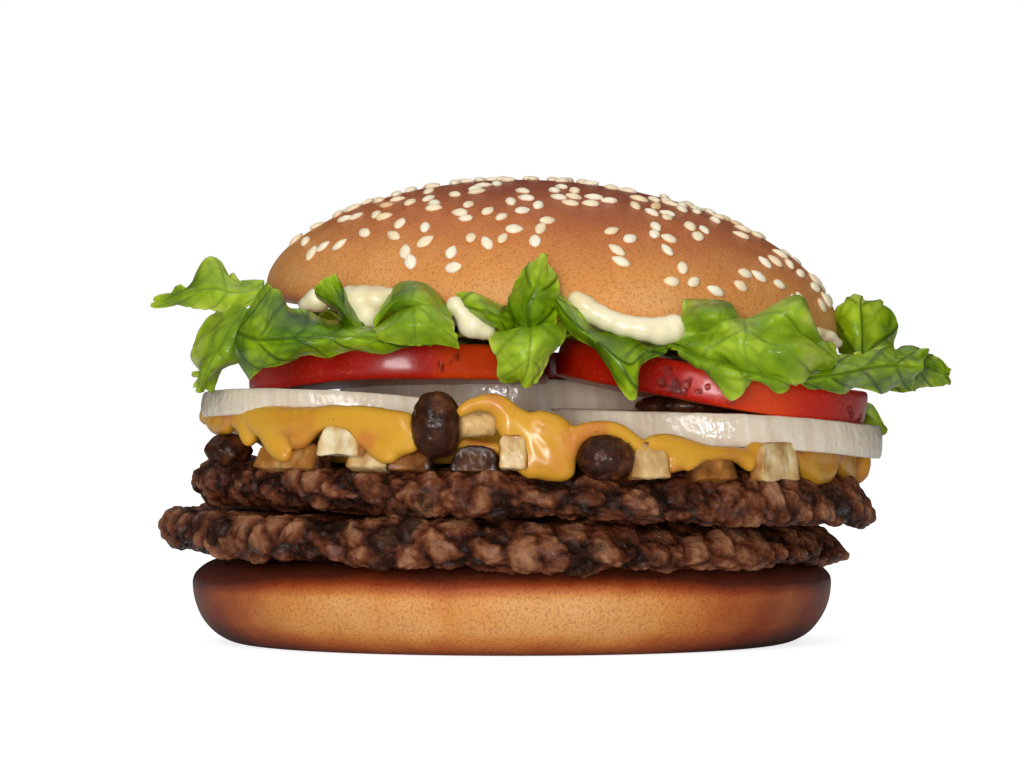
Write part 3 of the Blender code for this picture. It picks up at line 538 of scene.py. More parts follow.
noise.seed_set(patty["draw"])  # or else the vector noise below differs from run to run
for node, spec in patties.items():
    piece = spunPiece(camel(node), patty["segments"], patty["rings"], pattyProfile)
    left, front, right = spec["sag"]
    paintedCreaseShades = []

    def knead(point, normal, spec=spec, paintedCreaseShades=paintedCreaseShades):
        flat = Vector((point.x, point.y, 0))
        turn = point.x / max(flat.length, 1.0)
        edge = max(0.0, (flat.length - patty["droop"]) / (patty["radius"] - patty["droop"])) ** 2
        show = min(1.0, 1.6 * edge) if flat.length > patty["droop"] else 0.0
        bent = point + noise.noise_vector(point / patty["bend"]) * 3.0
        strand = cells(Vector((bent.x + spec["draw"] * 10, bent.y, bent.z * 0.8)), patty["strand"])
        crumb = cells(point + noise.noise_vector(point / 3.0) * 1.2, patty["crumb"])
        big = lump(point, 12, spec["draw"])
        relief = (1.5 * (strand**0.6 - 0.62) + 0.5 * (crumb**0.7 - 0.5) + 1.5 * big
                  + 0.3 * lump(point, 1.3, 2.0))
        # painted shade: low in the creases between strands, high on their backs
        paintedCreaseShades.append(0.18 + 0.42 * strand**0.8 + 0.18 * crumb + 0.22 * big)
        pushed = point + normal * relief * (0.15 + 0.85 * show)
        ragged = 1 + 0.014 * lump(flat, 26, spec["draw"])
        sag = front + (right - left) / 2 * turn + ((right + left) / 2 - front) * turn**2
        thin = 1 - spec["pinch"] * max(0.0, turn) * edge
        return Vector((pushed.x * ragged, pushed.y * ragged, pushed.z * thin - sag * edge))

    movePoints(piece, knead)
    storeValues(piece, "crease", paintedCreaseShades)
    piece.data.transform(Matrix.Translation(Vector(spec["centre"]) * mm))
    finishPiece(piece, [beef], [node])
print("patties done")

# onion: raw white onion cut across, wet and half clear, with fine streaks down its side
onions = {
    "onion_left": {"centre": (-27.5, -14.0, 43.7), "size": (30.3, 4.9),
                  "lean": 4.1, "nod": -2.0, "ends": (1.3, 1.2), "number": 0},
    "onion_right": {"centre": (37.3, -14.0, 40.3), "size": (31.0, 6.1),
                   "lean": 1.4, "nod": 0.0, "ends": (0.0, 1.9), "number": 1},
    "onion_back": {"centre": (-1.0, 31.0, 46.7), "size": (32.0, 6.4),
                  "lean": 2.6, "nod": 0.0, "ends": (0.0, 0.0), "number": 2},
}
onionFlesh, tree, shader, place = newMaterial("RawWhiteOnion", {
    "Roughness": 0.22, "IOR": 1.38, "Subsurface Weight": 0.55, "Subsurface Radius": (0.006, 0.0045, 0.0035),
    "Coat Weight": 0.7, "Coat Roughness": 0.07})
streakPlace = addNode(tree, "ShaderNodeCombineXYZ", {}, {"X": marked(tree, "streak")})
streaks = speckle(tree, streakPlace.outputs[0], 1000, 4.0, 0.6)  # its place already counts the streaks
streakTone = tones(tree, streaks, [(0.30, "#d9c6ac"), (0.50, "#e6d8c3"), (0.70, "#f0e6d6")])
rings = addNode(tree, "ShaderNodeMath", {"operation": "PINGPONG", 1: 0.5}, {0: marked(tree, "ring")})
ringTone = tones(tree, rings.outputs[0], [(0.0, "#bfb08f"), (0.08, "#ffffff")])
juiceBump = bumps(tree, speckle(tree, place, 1.4), 0.3, 0.7)
wire(tree, shader, layered(tree, 0.8, streakTone, ringTone, "MULTIPLY"), bumps(tree, streaks, 0.10, 0.6, juiceBump))


def slicePiece(name, spec, segments, bulge, draw):
    # round slice with an eased rim; its flat faces come from few rings, its side from many
    radius, thickness = spec["size"]
    half = thickness / 2
    side = []
    for i in range(25):
        angle = math.radians(84 - 168 * i / 24)
        reach = abs(math.cos(angle)) ** 0.55
        rise = math.copysign(abs(math.sin(angle)) ** 0.7, math.sin(angle))
        side.append((radius - bulge + bulge * reach, half * rise))

    def profile(share):
        if share < 0.3:
            return (radius - bulge) * share / 0.3, half
        if share > 0.7:
            return (radius - bulge) * (1 - share) / 0.3, -half
        return along(side, (share - 0.3) / 0.4)

    piece = spunPiece(name, segments, 50, profile)
    left, right = spec["ends"]

    def wobble(point, normal):
        azimuth = math.atan2(point.y, point.x)
        out = 1 + 0.012 * math.sin(2 * azimuth + draw) + 0.008 * math.sin(5 * azimuth + 2 * draw)
        share = point.x / radius
        sink = (left if share < 0 else right) * share**2
        return Vector((point.x * out, point.y * out, point.z - sink)) + normal * 0.10 * lump(point, 4, draw)

    movePoints(piece, wobble)
    return piece


for node, spec in onions.items():
    piece = slicePiece(camel(node), spec, 200, 1.0, spec["number"])
    radius = spec["size"][0]
    ringValues, streakValues = [], []
    for vertex in piece.data.vertices:
        point = vertex.co / mm
        reach = math.hypot(point.x, point.y)
        flatness = 1.0 if abs(point.z) > spec["size"][1] * 0.38 and reach < radius - 0.9 else 0.0
        ringValues.append(reach / 3.6 if flatness else 0.5)
        streakValues.append(math.atan2(point.y, point.x) * radius * 0.4 + 0.08 * point.z)
    storeValues(piece, "ring", ringValues)
    storeValues(piece, "streak", streakValues)
    piece.data.transform(leaning(spec["centre"], spec["lean"], spec["nod"]))
    finishPiece(piece, [onionFlesh], [node])
print("onions done")

# tomato: thick slices, the skin deep red and waxy, the cut faces paler and wetter
tomatoes = {
    "tomato_left": {"centre": (-21.0, -10.0, 52.0), "size": (28.0, 6.4),
                   "lean": 0.0, "nod": -1.6, "ends": (2.6, 0.0), "number": 3},
    "tomato_right": {"centre": (36.6, -15.0, 47.6), "size": (29.3, 6.7),
                    "lean": 10.9, "nod": -1.0, "ends": (-0.5, -1.7), "number": 4},
    "tomato_back": {"centre": (9.0, 37.5, 51.6), "size": (26.0, 5.6),
                   "lean": 2.6, "nod": -0.5, "ends": (0.0, 0.0), "number": 5},
}
tomatoFlesh, tree, shader, place = newMaterial("FreshTomato", {
    "Roughness": 0.34, "IOR": 1.4, "Subsurface Weight": 0.08, "Subsurface Radius": (0.003, 0.0006, 0.0003),
    "Specular IOR Level": 0.3, "Coat Weight": 0.2, "Coat Roughness": 0.14})
ripeTone = tones(tree, speckle(tree, place, 26), [(0.36, "#9c1106"), (0.54, "#c81b07"), (0.66, "#e2440c")])
fleck = speckle(tree, place, 0.8, 1.0)
skinColour = layered(tree, tones(tree, fleck, [(0.60, 0.0), (0.70, 0.16)]), ripeTone, "#ec7a2c")
pulp = addNode(tree, "ShaderNodeTexVoronoi", {"Scale": perMm(7)}, {"Vector": place})
pulpTone = tones(tree, pulp.outputs["Distance"], [(0.1, "#d8532f"), (0.5, "#c93a20"), (0.8, "#e58a5a")])
wire(tree, shader, layered(tree, marked(tree, "skin"), pulpTone, skinColour), bumps(tree, fleck, 0.06, 0.4),
     coat=False)

tomatoTrees = {}
for node, spec in tomatoes.items():
    piece = slicePiece(camel(node), spec, 200, 1.1, spec["number"])
    radius, thickness = spec["size"]
    skinValues = []
    for vertex in piece.data.vertices:
        point = vertex.co / mm
        skinValues.append(max(0.0, min(1.0, (math.hypot(point.x, point.y) - radius + 1.3) / 0.5)))
    storeValues(piece, "skin", skinValues)
    piece.data.transform(leaning(spec["centre"], spec["lean"], spec["nod"]))
    finishPiece(piece, [tomatoFlesh], [node])
    tomatoTrees[node] = treeOf(piece)
print("tomatoes done")

# water: beads that stand on the waxy skin
drops = {
    "tomato_left": [(-81, -66, 9, 0.75), (-172, -150, 7, 0.6), (20, 160, 12, 0.8)],
    "tomato_right": [(-112, -84, 22, 1.15), (-40, -12, 14, 0.9), (10, 120, 12, 0.8)],
    "tomato_back": [(30, 150, 12, 0.9)],
}
water, tree, shader, place = newMaterial("WaterBead", {
    "Base Color": linear("#ffffff"), "Roughness": 0.0, "IOR": 1.33, "Transmission Weight": 1.0})
tree.links.new(bumps(tree, speckle(tree, place, 2), 0.02, 0.2), shader.inputs["Normal"])
beadBall = ballMesh(bpy.ops.mesh.primitive_ico_sphere_add, subdivisions=3)
beads = bmesh.new()
draw = random.Random(23)
for node, patches in drops.items():
    centre = Vector(tomatoes[node]["centre"]) * mm
    slope = math.tan(math.radians(tomatoes[node]["lean"]))
    for first, last, count, largest in patches:
        for _ in range(count):
            azimuth = math.radians(draw.uniform(first, last))
            size = largest * draw.uniform(0.3, 1.0) ** 1.4
            outward = Vector((math.cos(azimuth), math.sin(azimuth), 0))
            high = Vector((0, 0, draw.uniform(-2.0, 2.0) * mm))
            fall = Vector((0, 0, -slope * outward.x * 0.029))
            spot, normal, _, _ = tomatoTrees[node].ray_cast(centre + outward * 0.05 + high + fall, -outward)
            if spot is None:
                continue
            upright = normal.to_track_quat("Z", "Y").to_matrix().to_4x4()
            scale = Matrix.Diagonal((size * draw.uniform(0.85, 1.0), size, size * 0.55, 1))
            put = Matrix.Translation(spot) @ upright @ Matrix.Scale(mm, 4) @ scale
            addCopy(beads, beadBall, put)
waterBeads = pieceFrom("waterBeads", beads)
finishPiece(waterBeads, [water], [])
print("water beads done")

# cheese sauce: poured warm, half set, glossy, with fine dark specks of pepper
cheese = {"radius": 57.0, "shift": 2.5, "bend": 4.0, "height": 37.3, "slope": 0.072, "nod": 0.035,
          "dip": 0.0008, "segments": 200, "rings": 60, "floor": 34.15, "front": 62.9, "voxel": 0.55}
# its runs and drips as they show, each a row of (picture x, picture y, radius)
cheeseRuns = [
    [(213, 421, 1.7), (220, 424, 2.3), (227, 427, 1.6), (232, 420, 1.8)],
    [(240, 421, 1.9), (248, 424, 2.3), (249, 434, 2.0), (249, 441, 1.4)],
    [(258, 424, 2.0), (268, 427, 2.6), (282, 427, 2.9), (300, 424, 2.6), (314, 420, 1.9), (340, 418, 1.7),
     (360, 421, 1.9), (380, 427, 2.4), (398, 431, 2.4), (414, 436, 2.2)],
    [(270, 432, 2.4), (278, 441, 2.9), (283, 450, 2.5), (285, 456, 1.5)],
    [(298, 440, 1.8), (306, 437, 1.7), (316, 428, 1.4), (328, 423.5, 1.2), (344, 423.5, 1.2), (355, 429, 1.4),
     (364, 439, 1.7)],
    [(372, 440, 2.4), (381, 448, 2.7), (387, 455, 1.9), (390, 458, 1.2)],
    [(394, 445, 2.6), (404, 444, 2.0), (412, 446, 1.4)],
    [(461, 412, 1.1), (472, 405, 1.5), (486, 403, 1.7), (498, 406, 2.0), (507, 414, 2.4), (512, 424, 2.6)],
    [(506, 424, 2.0), (509, 434, 1.6)],
    [(518, 422, 2.6), (528, 434, 3.4), (532, 450, 3.6), (540, 462, 3.3), (552, 466, 3.0), (563, 468, 2.5)],
    [(540, 424, 2.6), (555, 430, 2.8), (562, 442, 3.0), (560, 456, 3.2)],
    [(522, 458, 2.4), (531, 468, 2.2)],
    [(568, 452, 1.9), (572, 442, 1.9), (580, 434, 1.8), (592, 430, 1.7), (606, 429, 1.7), (620, 433, 1.7),
     (632, 441, 1.6), (641, 450, 1.4), (644, 456, 1.0)],
    [(652, 444, 1.7), (666, 446, 2.4), (678, 450, 2.6), (676, 460, 2.3), (671, 467, 1.4)],
    [(686, 450, 2.1), (700, 453, 1.9), (716, 453, 1.5), (732, 454, 1.5), (746, 459, 1.9), (749, 465, 1.3)],
    [(694, 460, 1.6), (688, 466, 1.2)],
    [(754, 450, 1.7), (775, 451, 1.5), (790, 454, 1.6), (799, 463, 2.0)],
    [(802, 453, 2.0), (820, 455, 2.2), (840, 456, 2.2), (862, 458, 1.8)],
    [(208, 416, 1.8), (222, 415, 2.2), (240, 415, 2.2), (262, 415, 2.2), (290, 417, 2.2), (330, 415, 2.0),
     (370, 417, 2.2), (405, 424, 2.4)],
    [(536, 434, 3.4), (548, 446, 3.6), (551, 458, 3.4)],
    [(803, 466, 2.4), (812, 473, 2.6), (822, 472, 2.7), (827, 463, 2.3), (828, 456, 1.8)],
    [(838, 462, 2.2), (845, 471, 2.6), (853, 476, 2.0), (858, 469, 2.4), (863, 462, 1.8)],
]
cheeseSauce, tree, shader, place = newMaterial("WarmCheeseSauce", {
    "Roughness": 0.32, "IOR": 1.42, "Subsurface Weight": 0.3, "Subsurface Radius": (0.005, 0.0028, 0.0008),
    "Specular IOR Level": 0.35, "Coat Weight": 0.16, "Coat Roughness": 0.1})
sauceTone = tones(tree, speckle(tree, place, 12, distortion=0.6), [
    (0.36, "#ca8134"), (0.47, "#d3982c"), (0.64, "#d8a332")])
pepper = addNode(tree, "ShaderNodeTexVoronoi", {"Scale": perMm(3.2), "Randomness": 1.0}, {"Vector": place})
pepperMask = tones(tree, pepper.outputs["Distance"], [(0.045, 0.7), (0.07, 0.0)])
wire(tree, shader, layered(tree, pepperMask, sauceTone, "#5a3213"), bumps(tree, speckle(tree, place, 4), 0.12, 1.0),
     coat=False)


def cheeseTop(x, y):
    past = x - cheese["bend"]
    if past > 0:
        return cheese["height"] - cheese["dip"] * past**2
    left = min(1.0, -past / 20)
    return cheese["height"] - cheese["slope"] * past - cheese["nod"] * (y + 14) * left


def sauceProfile(share):
    if share < 0.4:
        return 0.96 * cheese["radius"] * share / 0.4, 1.0
    if share > 0.6:
        return 0.96 * cheese["radius"] * (1 - share) / 0.4, -1.0
    angle = math.radians(90 - 180 * (share - 0.4) / 0.2)
    return cheese["radius"] * (0.96 + 0.04 * math.cos(angle)), math.sin(angle)


def pour(point, normal):
    # fills the middle down to the beef; towards its rim the pool is a thin sheet
    x, y = point.x + cheese["shift"], point.y
    top = cheeseTop(x, y)
    rim = max(0.0, min(1.0, (math.hypot(point.x, point.y) / cheese["radius"] - 0.80) / 0.1))
    bottom = cheese["floor"] + rim * max(0.0, top - 2.4 - cheese["floor"])
    top += 4.6 * math.exp(-((x + 4) / 9) ** 2) * max(0.0, min(1.0, (y + 50) / 6)) * (1 - rim)
    return Vector((x, y, (top + bottom) / 2 + (top - bottom) / 2 * point.z))


cheesePool = spunPiece("cheesePool", cheese["segments"], cheese["rings"], sauceProfile)
movePoints(cheesePool, pour)
lobes = []
for run in cheeseRuns:
    steps = (len(run) - 1) * 4
    for i in range(steps + 1):
        px, py, radius = curved([Vector(point) for point in run], i / steps)
        depth = -40.0
        for _ in range(6):
            x = (px - view["middleX"]) * (view["distance"] + depth) / view["pixelsFocal"]
            depth = -math.sqrt(max(4.0, (cheese["front"] - radius) ** 2 - (x - cheese["shift"]) ** 2))
        lobes.append((fromPicture(px, py, depth), radius))
draw = random.Random(17)
for i in range(9):
    # sauce that runs over the rear edge, where the picture does not show it
    azimuth = math.radians(14 + 152 * i / 8 + draw.uniform(-4, 4))
    down = draw.uniform(1.5, 4.0)
    for share in (0.0, 0.5, 1.0):
        turn = azimuth + (share - 0.5) * draw.uniform(0.05, 0.12)
        x, y = 57.2 * math.cos(turn) + cheese["shift"], 57.2 * math.sin(turn)
        lobes.append((Vector((x, y, cheeseTop(x, y) - 1.6 - down * math.sin(math.pi * share))), 1.9))
joinBalls(cheesePool, ballMesh(bpy.ops.mesh.primitive_ico_sphere_add, subdivisions=2),
          [(middle, (radius,) * 3) for middle, radius in lobes])
remesh(cheesePool, cheese["voxel"], 9)
movePoints(cheesePool, lambda point, normal: point + normal * 0.22 * lump(point, 4.5, 3.0))
finishPiece(cheesePool, [cheeseSauce], ["cheese_sauce"])
print("cheese sauce done")

# fried mushrooms: brown wrinkled caps, and slices with pale browned cut faces
mushrooms = {
    "thickness": 3.4,
    "caps": ["mushroom_button", "mushroom_cap_front", "mushroom_cap_left", "mushroom_cap_inside",
             "mushroom_cap_back_left", "mushroom_cap_back_right"],
    # centre, width, height, the way the cut face looks, tilt back, squareness, how brown it fried
    "slices": {
        "mushroom_slice_far_left": ((-39.4, -41.6, 35.2), 17.4, 4.8, 226.0, 18.0, 5.0, 0.45),
        "mushroom_slice_left": ((-30.2, -51.2, 38.6), 8.8, 5.6, 240.0, 8.0, 2.0, 0.0),
        "mushroom_slice_low": ((-24.8, -52.2, 34.8), 8.6, 3.2, 244.0, 20.0, 3.0, 0.15),
        "mushroom_slice_brown": ((-17.8, -55.2, 34.8), 8.4, 4.2, 252.0, 18.0, 2.4, 0.75),
        "mushroom_slice_under": ((-6.4, -57.6, 35.0), 8.6, 4.6, 262.0, 14.0, 3.0, 0.9),
        "mushroom_slice_pale": ((0.2, -61.4, 36.6), 5.0, 6.0, 268.0, 6.0, 5.0, 0.12),
        "mushroom_slice_beside": ((24.0, -57.2, 35.0), 7.6, 6.4, 290.0, 8.0, 2.2, 0.2),
        "mushroom_slice_golden": ((35.4, -50.8, 33.6), 10.2, 5.0, 302.0, 16.0, 2.0, 0.6),
        "mushroom_slice_right": ((47.2, -43.0, 34.6), 10.2, 7.0, 316.0, 4.0, 5.0, 0.14),
        "mushroom_slice_back_1": ((-53.5, 14.0, 37.0), 9.0, 6.0, 165.0, 12.0, 2.2, 0.1),
        "mushroom_slice_back_2": ((-20.5, 54.0, 36.4), 8.6, 5.6, 112.0, 14.0, 2.2, 0.6),
        "mushroom_slice_back_3": ((6.0, 58.0, 35.6), 9.4, 5.8, 84.0, 10.0, 4.0, 0.2),
        "mushroom_slice_back_4": ((27.0, 53.0, 34.8), 8.4, 5.4, 62.0, 16.0, 2.2, 0.7),
    },
}
mushroomSkin, tree, shader, place = newMaterial("FriedMushroomSkin", {
    "Roughness": 0.42, "IOR": 1.38, "Specular IOR Level": 0.2, "Coat Weight": 0.22, "Coat Roughness": 0.08})
skinTone = tones(tree, speckle(tree, place, 3.2, 5.0, 0.6), [(0.34, "#1c0b04"), (0.52, "#3b1b0b"), (0.70, "#603517")])
wire(tree, shader, layered(tree, marked(tree, "stem"), skinTone, "#d9b477"),
     bumps(tree, speckle(tree, place, 1.1, 4.0), 0.35, 0.6))

mushroomCut, tree, shader, place = newMaterial("FriedMushroomCut", {
    "Roughness": 0.4, "IOR": 1.38, "Subsurface Weight": 0.3, "Subsurface Radius": (0.003, 0.002, 0.0012),
    "Specular IOR Level": 0.3, "Coat Weight": 0.25, "Coat Roughness": 0.12})
cutPatch = speckle(tree, place, 3.0, 4.0)
cutTone = tones(tree, added(tree, cutPatch, 0.6, marked(tree, "browning")), [
    (0.14, "#eadab4"), (0.32, "#d3b47c"), (0.56, "#a86f2e"), (0.78, "#5f3618"), (1.0, "#32180b")])
gills = addNode(tree, "ShaderNodeTexWave", {"Scale": perMm(14), "Distortion": 2.0, "Detail": 2.0}, {"Vector": place})
gillTone = tones(tree, gills.outputs["Fac"], [(0.0, "#d8b98a"), (0.5, "#ffffff")])
wire(tree, shader, layered(tree, 0.35, cutTone, gillTone, "MULTIPLY"), bumps(tree, cutPatch, 0.4, 0.8))


def copyOfNode(node, name):
    pickNone()
    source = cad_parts[node]
    mesh = source.data.copy()
    piece = bpy.data.objects.new(name, mesh)
    bpy.context.scene.collection.objects.link(piece)
    piece.matrix_world = source.matrix_world
    return mend(piece, 1e-5)


for node in mushrooms["caps"]:
    piece = copyOfNode(node, camel(node))
    remesh(piece, 0.35, 8)
    low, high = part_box(node)
    middle = (Vector(low) + Vector(high)) / 2 / mm

    def wrinkleCap(point, normal):
        fold = abs(lump(point, 2.6, 4.0))
        return point + normal * (0.2 - 0.3 * (1 - fold) ** 8 + 0.07 * lump(point, 1.1, 2.0))

    movePoints(piece, wrinkleCap)
    stem = [0.0] * len(piece.data.vertices)
    if node == "mushroom_button":
        stem = [max(0.0, min(1.0, (v.co.x / mm + 9.4) / 0.8)) for v in piece.data.vertices]
    storeValues(piece, "stem", stem)
    finishPiece(piece, [mushroomSkin], [node])
for node, (centre, width, height, facing, tilt, block, fried) in mushrooms["slices"].items():
    # a cube, cut fine, its top rounded to an arch: half moons have a low block value, cubes a high one
    pickNone()
    bpy.ops.mesh.primitive_cube_add(size=2.0)
    piece = bpy.context.object
    piece.name = piece.data.name = camel(node)
    bpy.ops.object.mode_set(mode="EDIT")
    bpy.ops.mesh.subdivide(number_cuts=23)
    bpy.ops.object.mode_set(mode="OBJECT")
    for vertex in piece.data.vertices:
        x, y, z = vertex.co
        arch = (1 - abs(x) ** block) ** (1 / block)
        high = -0.5 * height + height * arch * (z + 1) / 2
        vertex.co = Vector((x * width / 2, y * mushrooms["thickness"] / 2, high)) * mm
    remesh(piece, 0.28, 6)
    movePoints(piece, lambda point, normal: point + normal * (
        0.5 * lump(point, 3.4, width + height) + 0.16 * lump(point, 1.1)))
    edgeBrown = []
    for vertex in piece.data.vertices:
        x, z = vertex.co.x / mm / (width / 2), (vertex.co.z / mm + height / 2) / height
        rim = max(abs(x) ** 6, max(0.0, z) ** 7)
        edgeBrown.append(0.75 * fried - 0.12 + 0.6 * min(1.0, rim) * (0.6 + 0.8 * lump(vertex.co / mm, 4.0, 7.0)))
    storeValues(piece, "browning", edgeBrown)
    stand = Matrix.Rotation(math.radians(facing) + math.pi / 2, 4, "Z") @ Matrix.Rotation(math.radians(-tilt), 4, "X")
    piece.data.transform(Matrix.Translation(Vector(centre) * mm) @ stand)
    finishPiece(piece, [mushroomCut], [node])
print("mushrooms done")

# mayonnaise: thick, cream-coloured, smooth and glossy, squeezed out under the crown
mayo = {"radius": 40.0, "shift": 5.0, "depth": 1.8}
mayoLobes = [
    # picture x, y, depth behind the middle, half sizes across, through and up
    ((318, 300, -45.0), (2.6, 4.0, 2.3)), ((309, 304, -43.0), (2.0, 4.0, 1.6)),
    ((352, 298, -48.0), (2.6, 4.0, 2.4)), ((362, 302, -49.0), (3.6, 5.0, 3.2)), ((377, 300, -50.0), (3.4, 5.0, 2.6)),
    ((368, 314, -49.0), (3.4, 5.0, 3.4)), ((388, 296, -50.0), (2.2, 4.0, 1.6)),
    ((456, 305, -54.0), (1.9, 3.0, 1.7)), ((473, 325, -55.0), (2.9, 3.2, 2.5)), ((464, 314, -54.0), (2.0, 3.0, 1.8)),
    ((484, 331, -54.0), (2.2, 3.0, 1.7)),
    ((577, 300, -53.5), (1.9, 3.0, 1.6)), ((584, 306, -54.0), (2.4, 3.2, 2.0)), ((596, 314, -54.5), (2.8, 3.4, 2.1)),
    ((610, 321, -54.8), (3.0, 3.4, 2.0)), ((626, 326, -55.0), (3.2, 3.4, 2.1)), ((643, 329, -55.0), (3.2, 3.4, 2.3)),
    ((660, 331, -54.5), (3.2, 3.4, 2.7)), ((674, 328, -54.0), (2.4, 3.2, 2.7)),
    ((813, 333, -22.0), (2.6, 3.4, 1.3)), ((824, 337, -20.0), (2.6, 3.4, 1.4)), ((832, 343, -18.0), (2.2, 3.4, 1.2)),
]
rearMayo = [((28.0, 42.0, 57.8), (8.0, 8.0, 2.2)), ((-18.0, 43.0, 61.6), (8.0, 9.0, 2.2))]
mayonnaise, tree, shader, place = newMaterial("EggMayonnaise", {
    "Roughness": 0.22, "IOR": 1.46, "Subsurface Weight": 0.35, "Subsurface Radius": (0.004, 0.003, 0.0018),
    "Coat Weight": 0.3, "Coat Roughness": 0.12})
mayoTone = tones(tree, speckle(tree, place, 9, 1.0), [(0.35, "#ecd9a6"), (0.65, "#f6ebc6")])
wire(tree, shader, mayoTone, bumps(tree, speckle(tree, place, 3), 0.15, 0.8), coat=False)


def underCrown(x):
    return crown["centre"][2] - crown["lip"] - math.tan(math.radians(crown["lean"])) * (x - crown["centre"][0])


def bedHeight(x):
    return 57.4 if x < 6 else 57.4 - 0.125 * (x - 6)


def mayoProfile(share):
    height = math.copysign(0.5, 0.5 - share) if abs(share - 0.5) > 0.05 else 0.0
    return mayo["radius"] * min(1.0, math.sin(math.pi * share) * 1.6), height


mayoPool = spunPiece("mayoPool", 96, 16, mayoProfile)


def spreadMayo(point, normal):
    azimuth = math.atan2(point.y, point.x)
    out = 1 + 0.03 * math.sin(7 * azimuth + 1.0)
    x, y = point.x * out + mayo["shift"], point.y * out
    top = underCrown(x) + 0.4
    bottom = max(bedHeight(x) + 0.5, top - mayo["depth"] - 0.9)
    return Vector((x, y, bottom + (top - bottom) * (point.z + 0.5)))


movePoints(mayoPool, spreadMayo)
squeezed = [(fromPicture(*spot), half) for spot, half in mayoLobes]
squeezed += [(Vector(middle), half) for middle, half in rearMayo]
joinBalls(mayoPool, ballMesh(bpy.ops.mesh.primitive_uv_sphere_add, segments=24, ring_count=14), squeezed)
remesh(mayoPool, 0.5, 7)
movePoints(mayoPool, lambda point, normal: point + normal * 0.18 * lump(point, 3.4, 2.0))
finishPiece(mayoPool, [mayonnaise], ["mayonnaise"])
print("mayonnaise done")

# lettuce: fresh green leaf, blistered between its veins, glossy above, paler below
leafLook = {"thickness": 0.5, "step": 0.44, "midrib": 0.42, "taper": 0.2, "sideVein": 0.42, "veinGap": 8.0,
            "net": 3.4, "netLine": 0.12, "netShare": 0.3, "blister": 0.24, "wave": 11.0, "tooth": 0.55,
            "toothGap": 4.5}
leafMaterials = []
for name, stops, veinColour in (
        ("LettuceUpper", [(0.34, "#3a5a04"), (0.47, "#668a07"), (0.62, "#90b010"), (0.86, "#c6d645")], "#203a02"),
        ("LettuceUnder", [(0.34, "#4c700c"), (0.47, "#7a9a16"), (0.62, "#a2bc2c"), (0.86, "#d2de60")], "#64841e")):
    leafMaterial, tree, shader, place = newMaterial(name, {
        "Roughness": 0.36, "IOR": 1.33, "Subsurface Weight": 0.03, "Subsurface Radius": (0.0008, 0.0012, 0.0002),
        "Specular IOR Level": 0.25, "Coat Weight": 0.4, "Coat Roughness": 0.16, "Coat IOR": 1.35})
    fromRim = added(tree, marked(tree, "rim"), 0.22, speckle(tree, place, 12, 3.0))
    leafTone = tones(tree, added(tree, marked(tree, "blister"), 0.08, fromRim), stops)
    veinShare = addNode(tree, "ShaderNodeMath", {"operation": "MULTIPLY", 1: 0.9}, {0: marked(tree, "vein")})
    fineCells = addNode(tree, "ShaderNodeTexVoronoi", {"Scale": perMm(1.5), "feature": "SMOOTH_F1"},
                        {"Vector": place})
    wire(tree, shader, layered(tree, veinShare.outputs[0], leafTone, veinColour),
         bumps(tree, fineCells.outputs["Distance"], 0.22, 0.5))
    leafMaterials.append(leafMaterial)

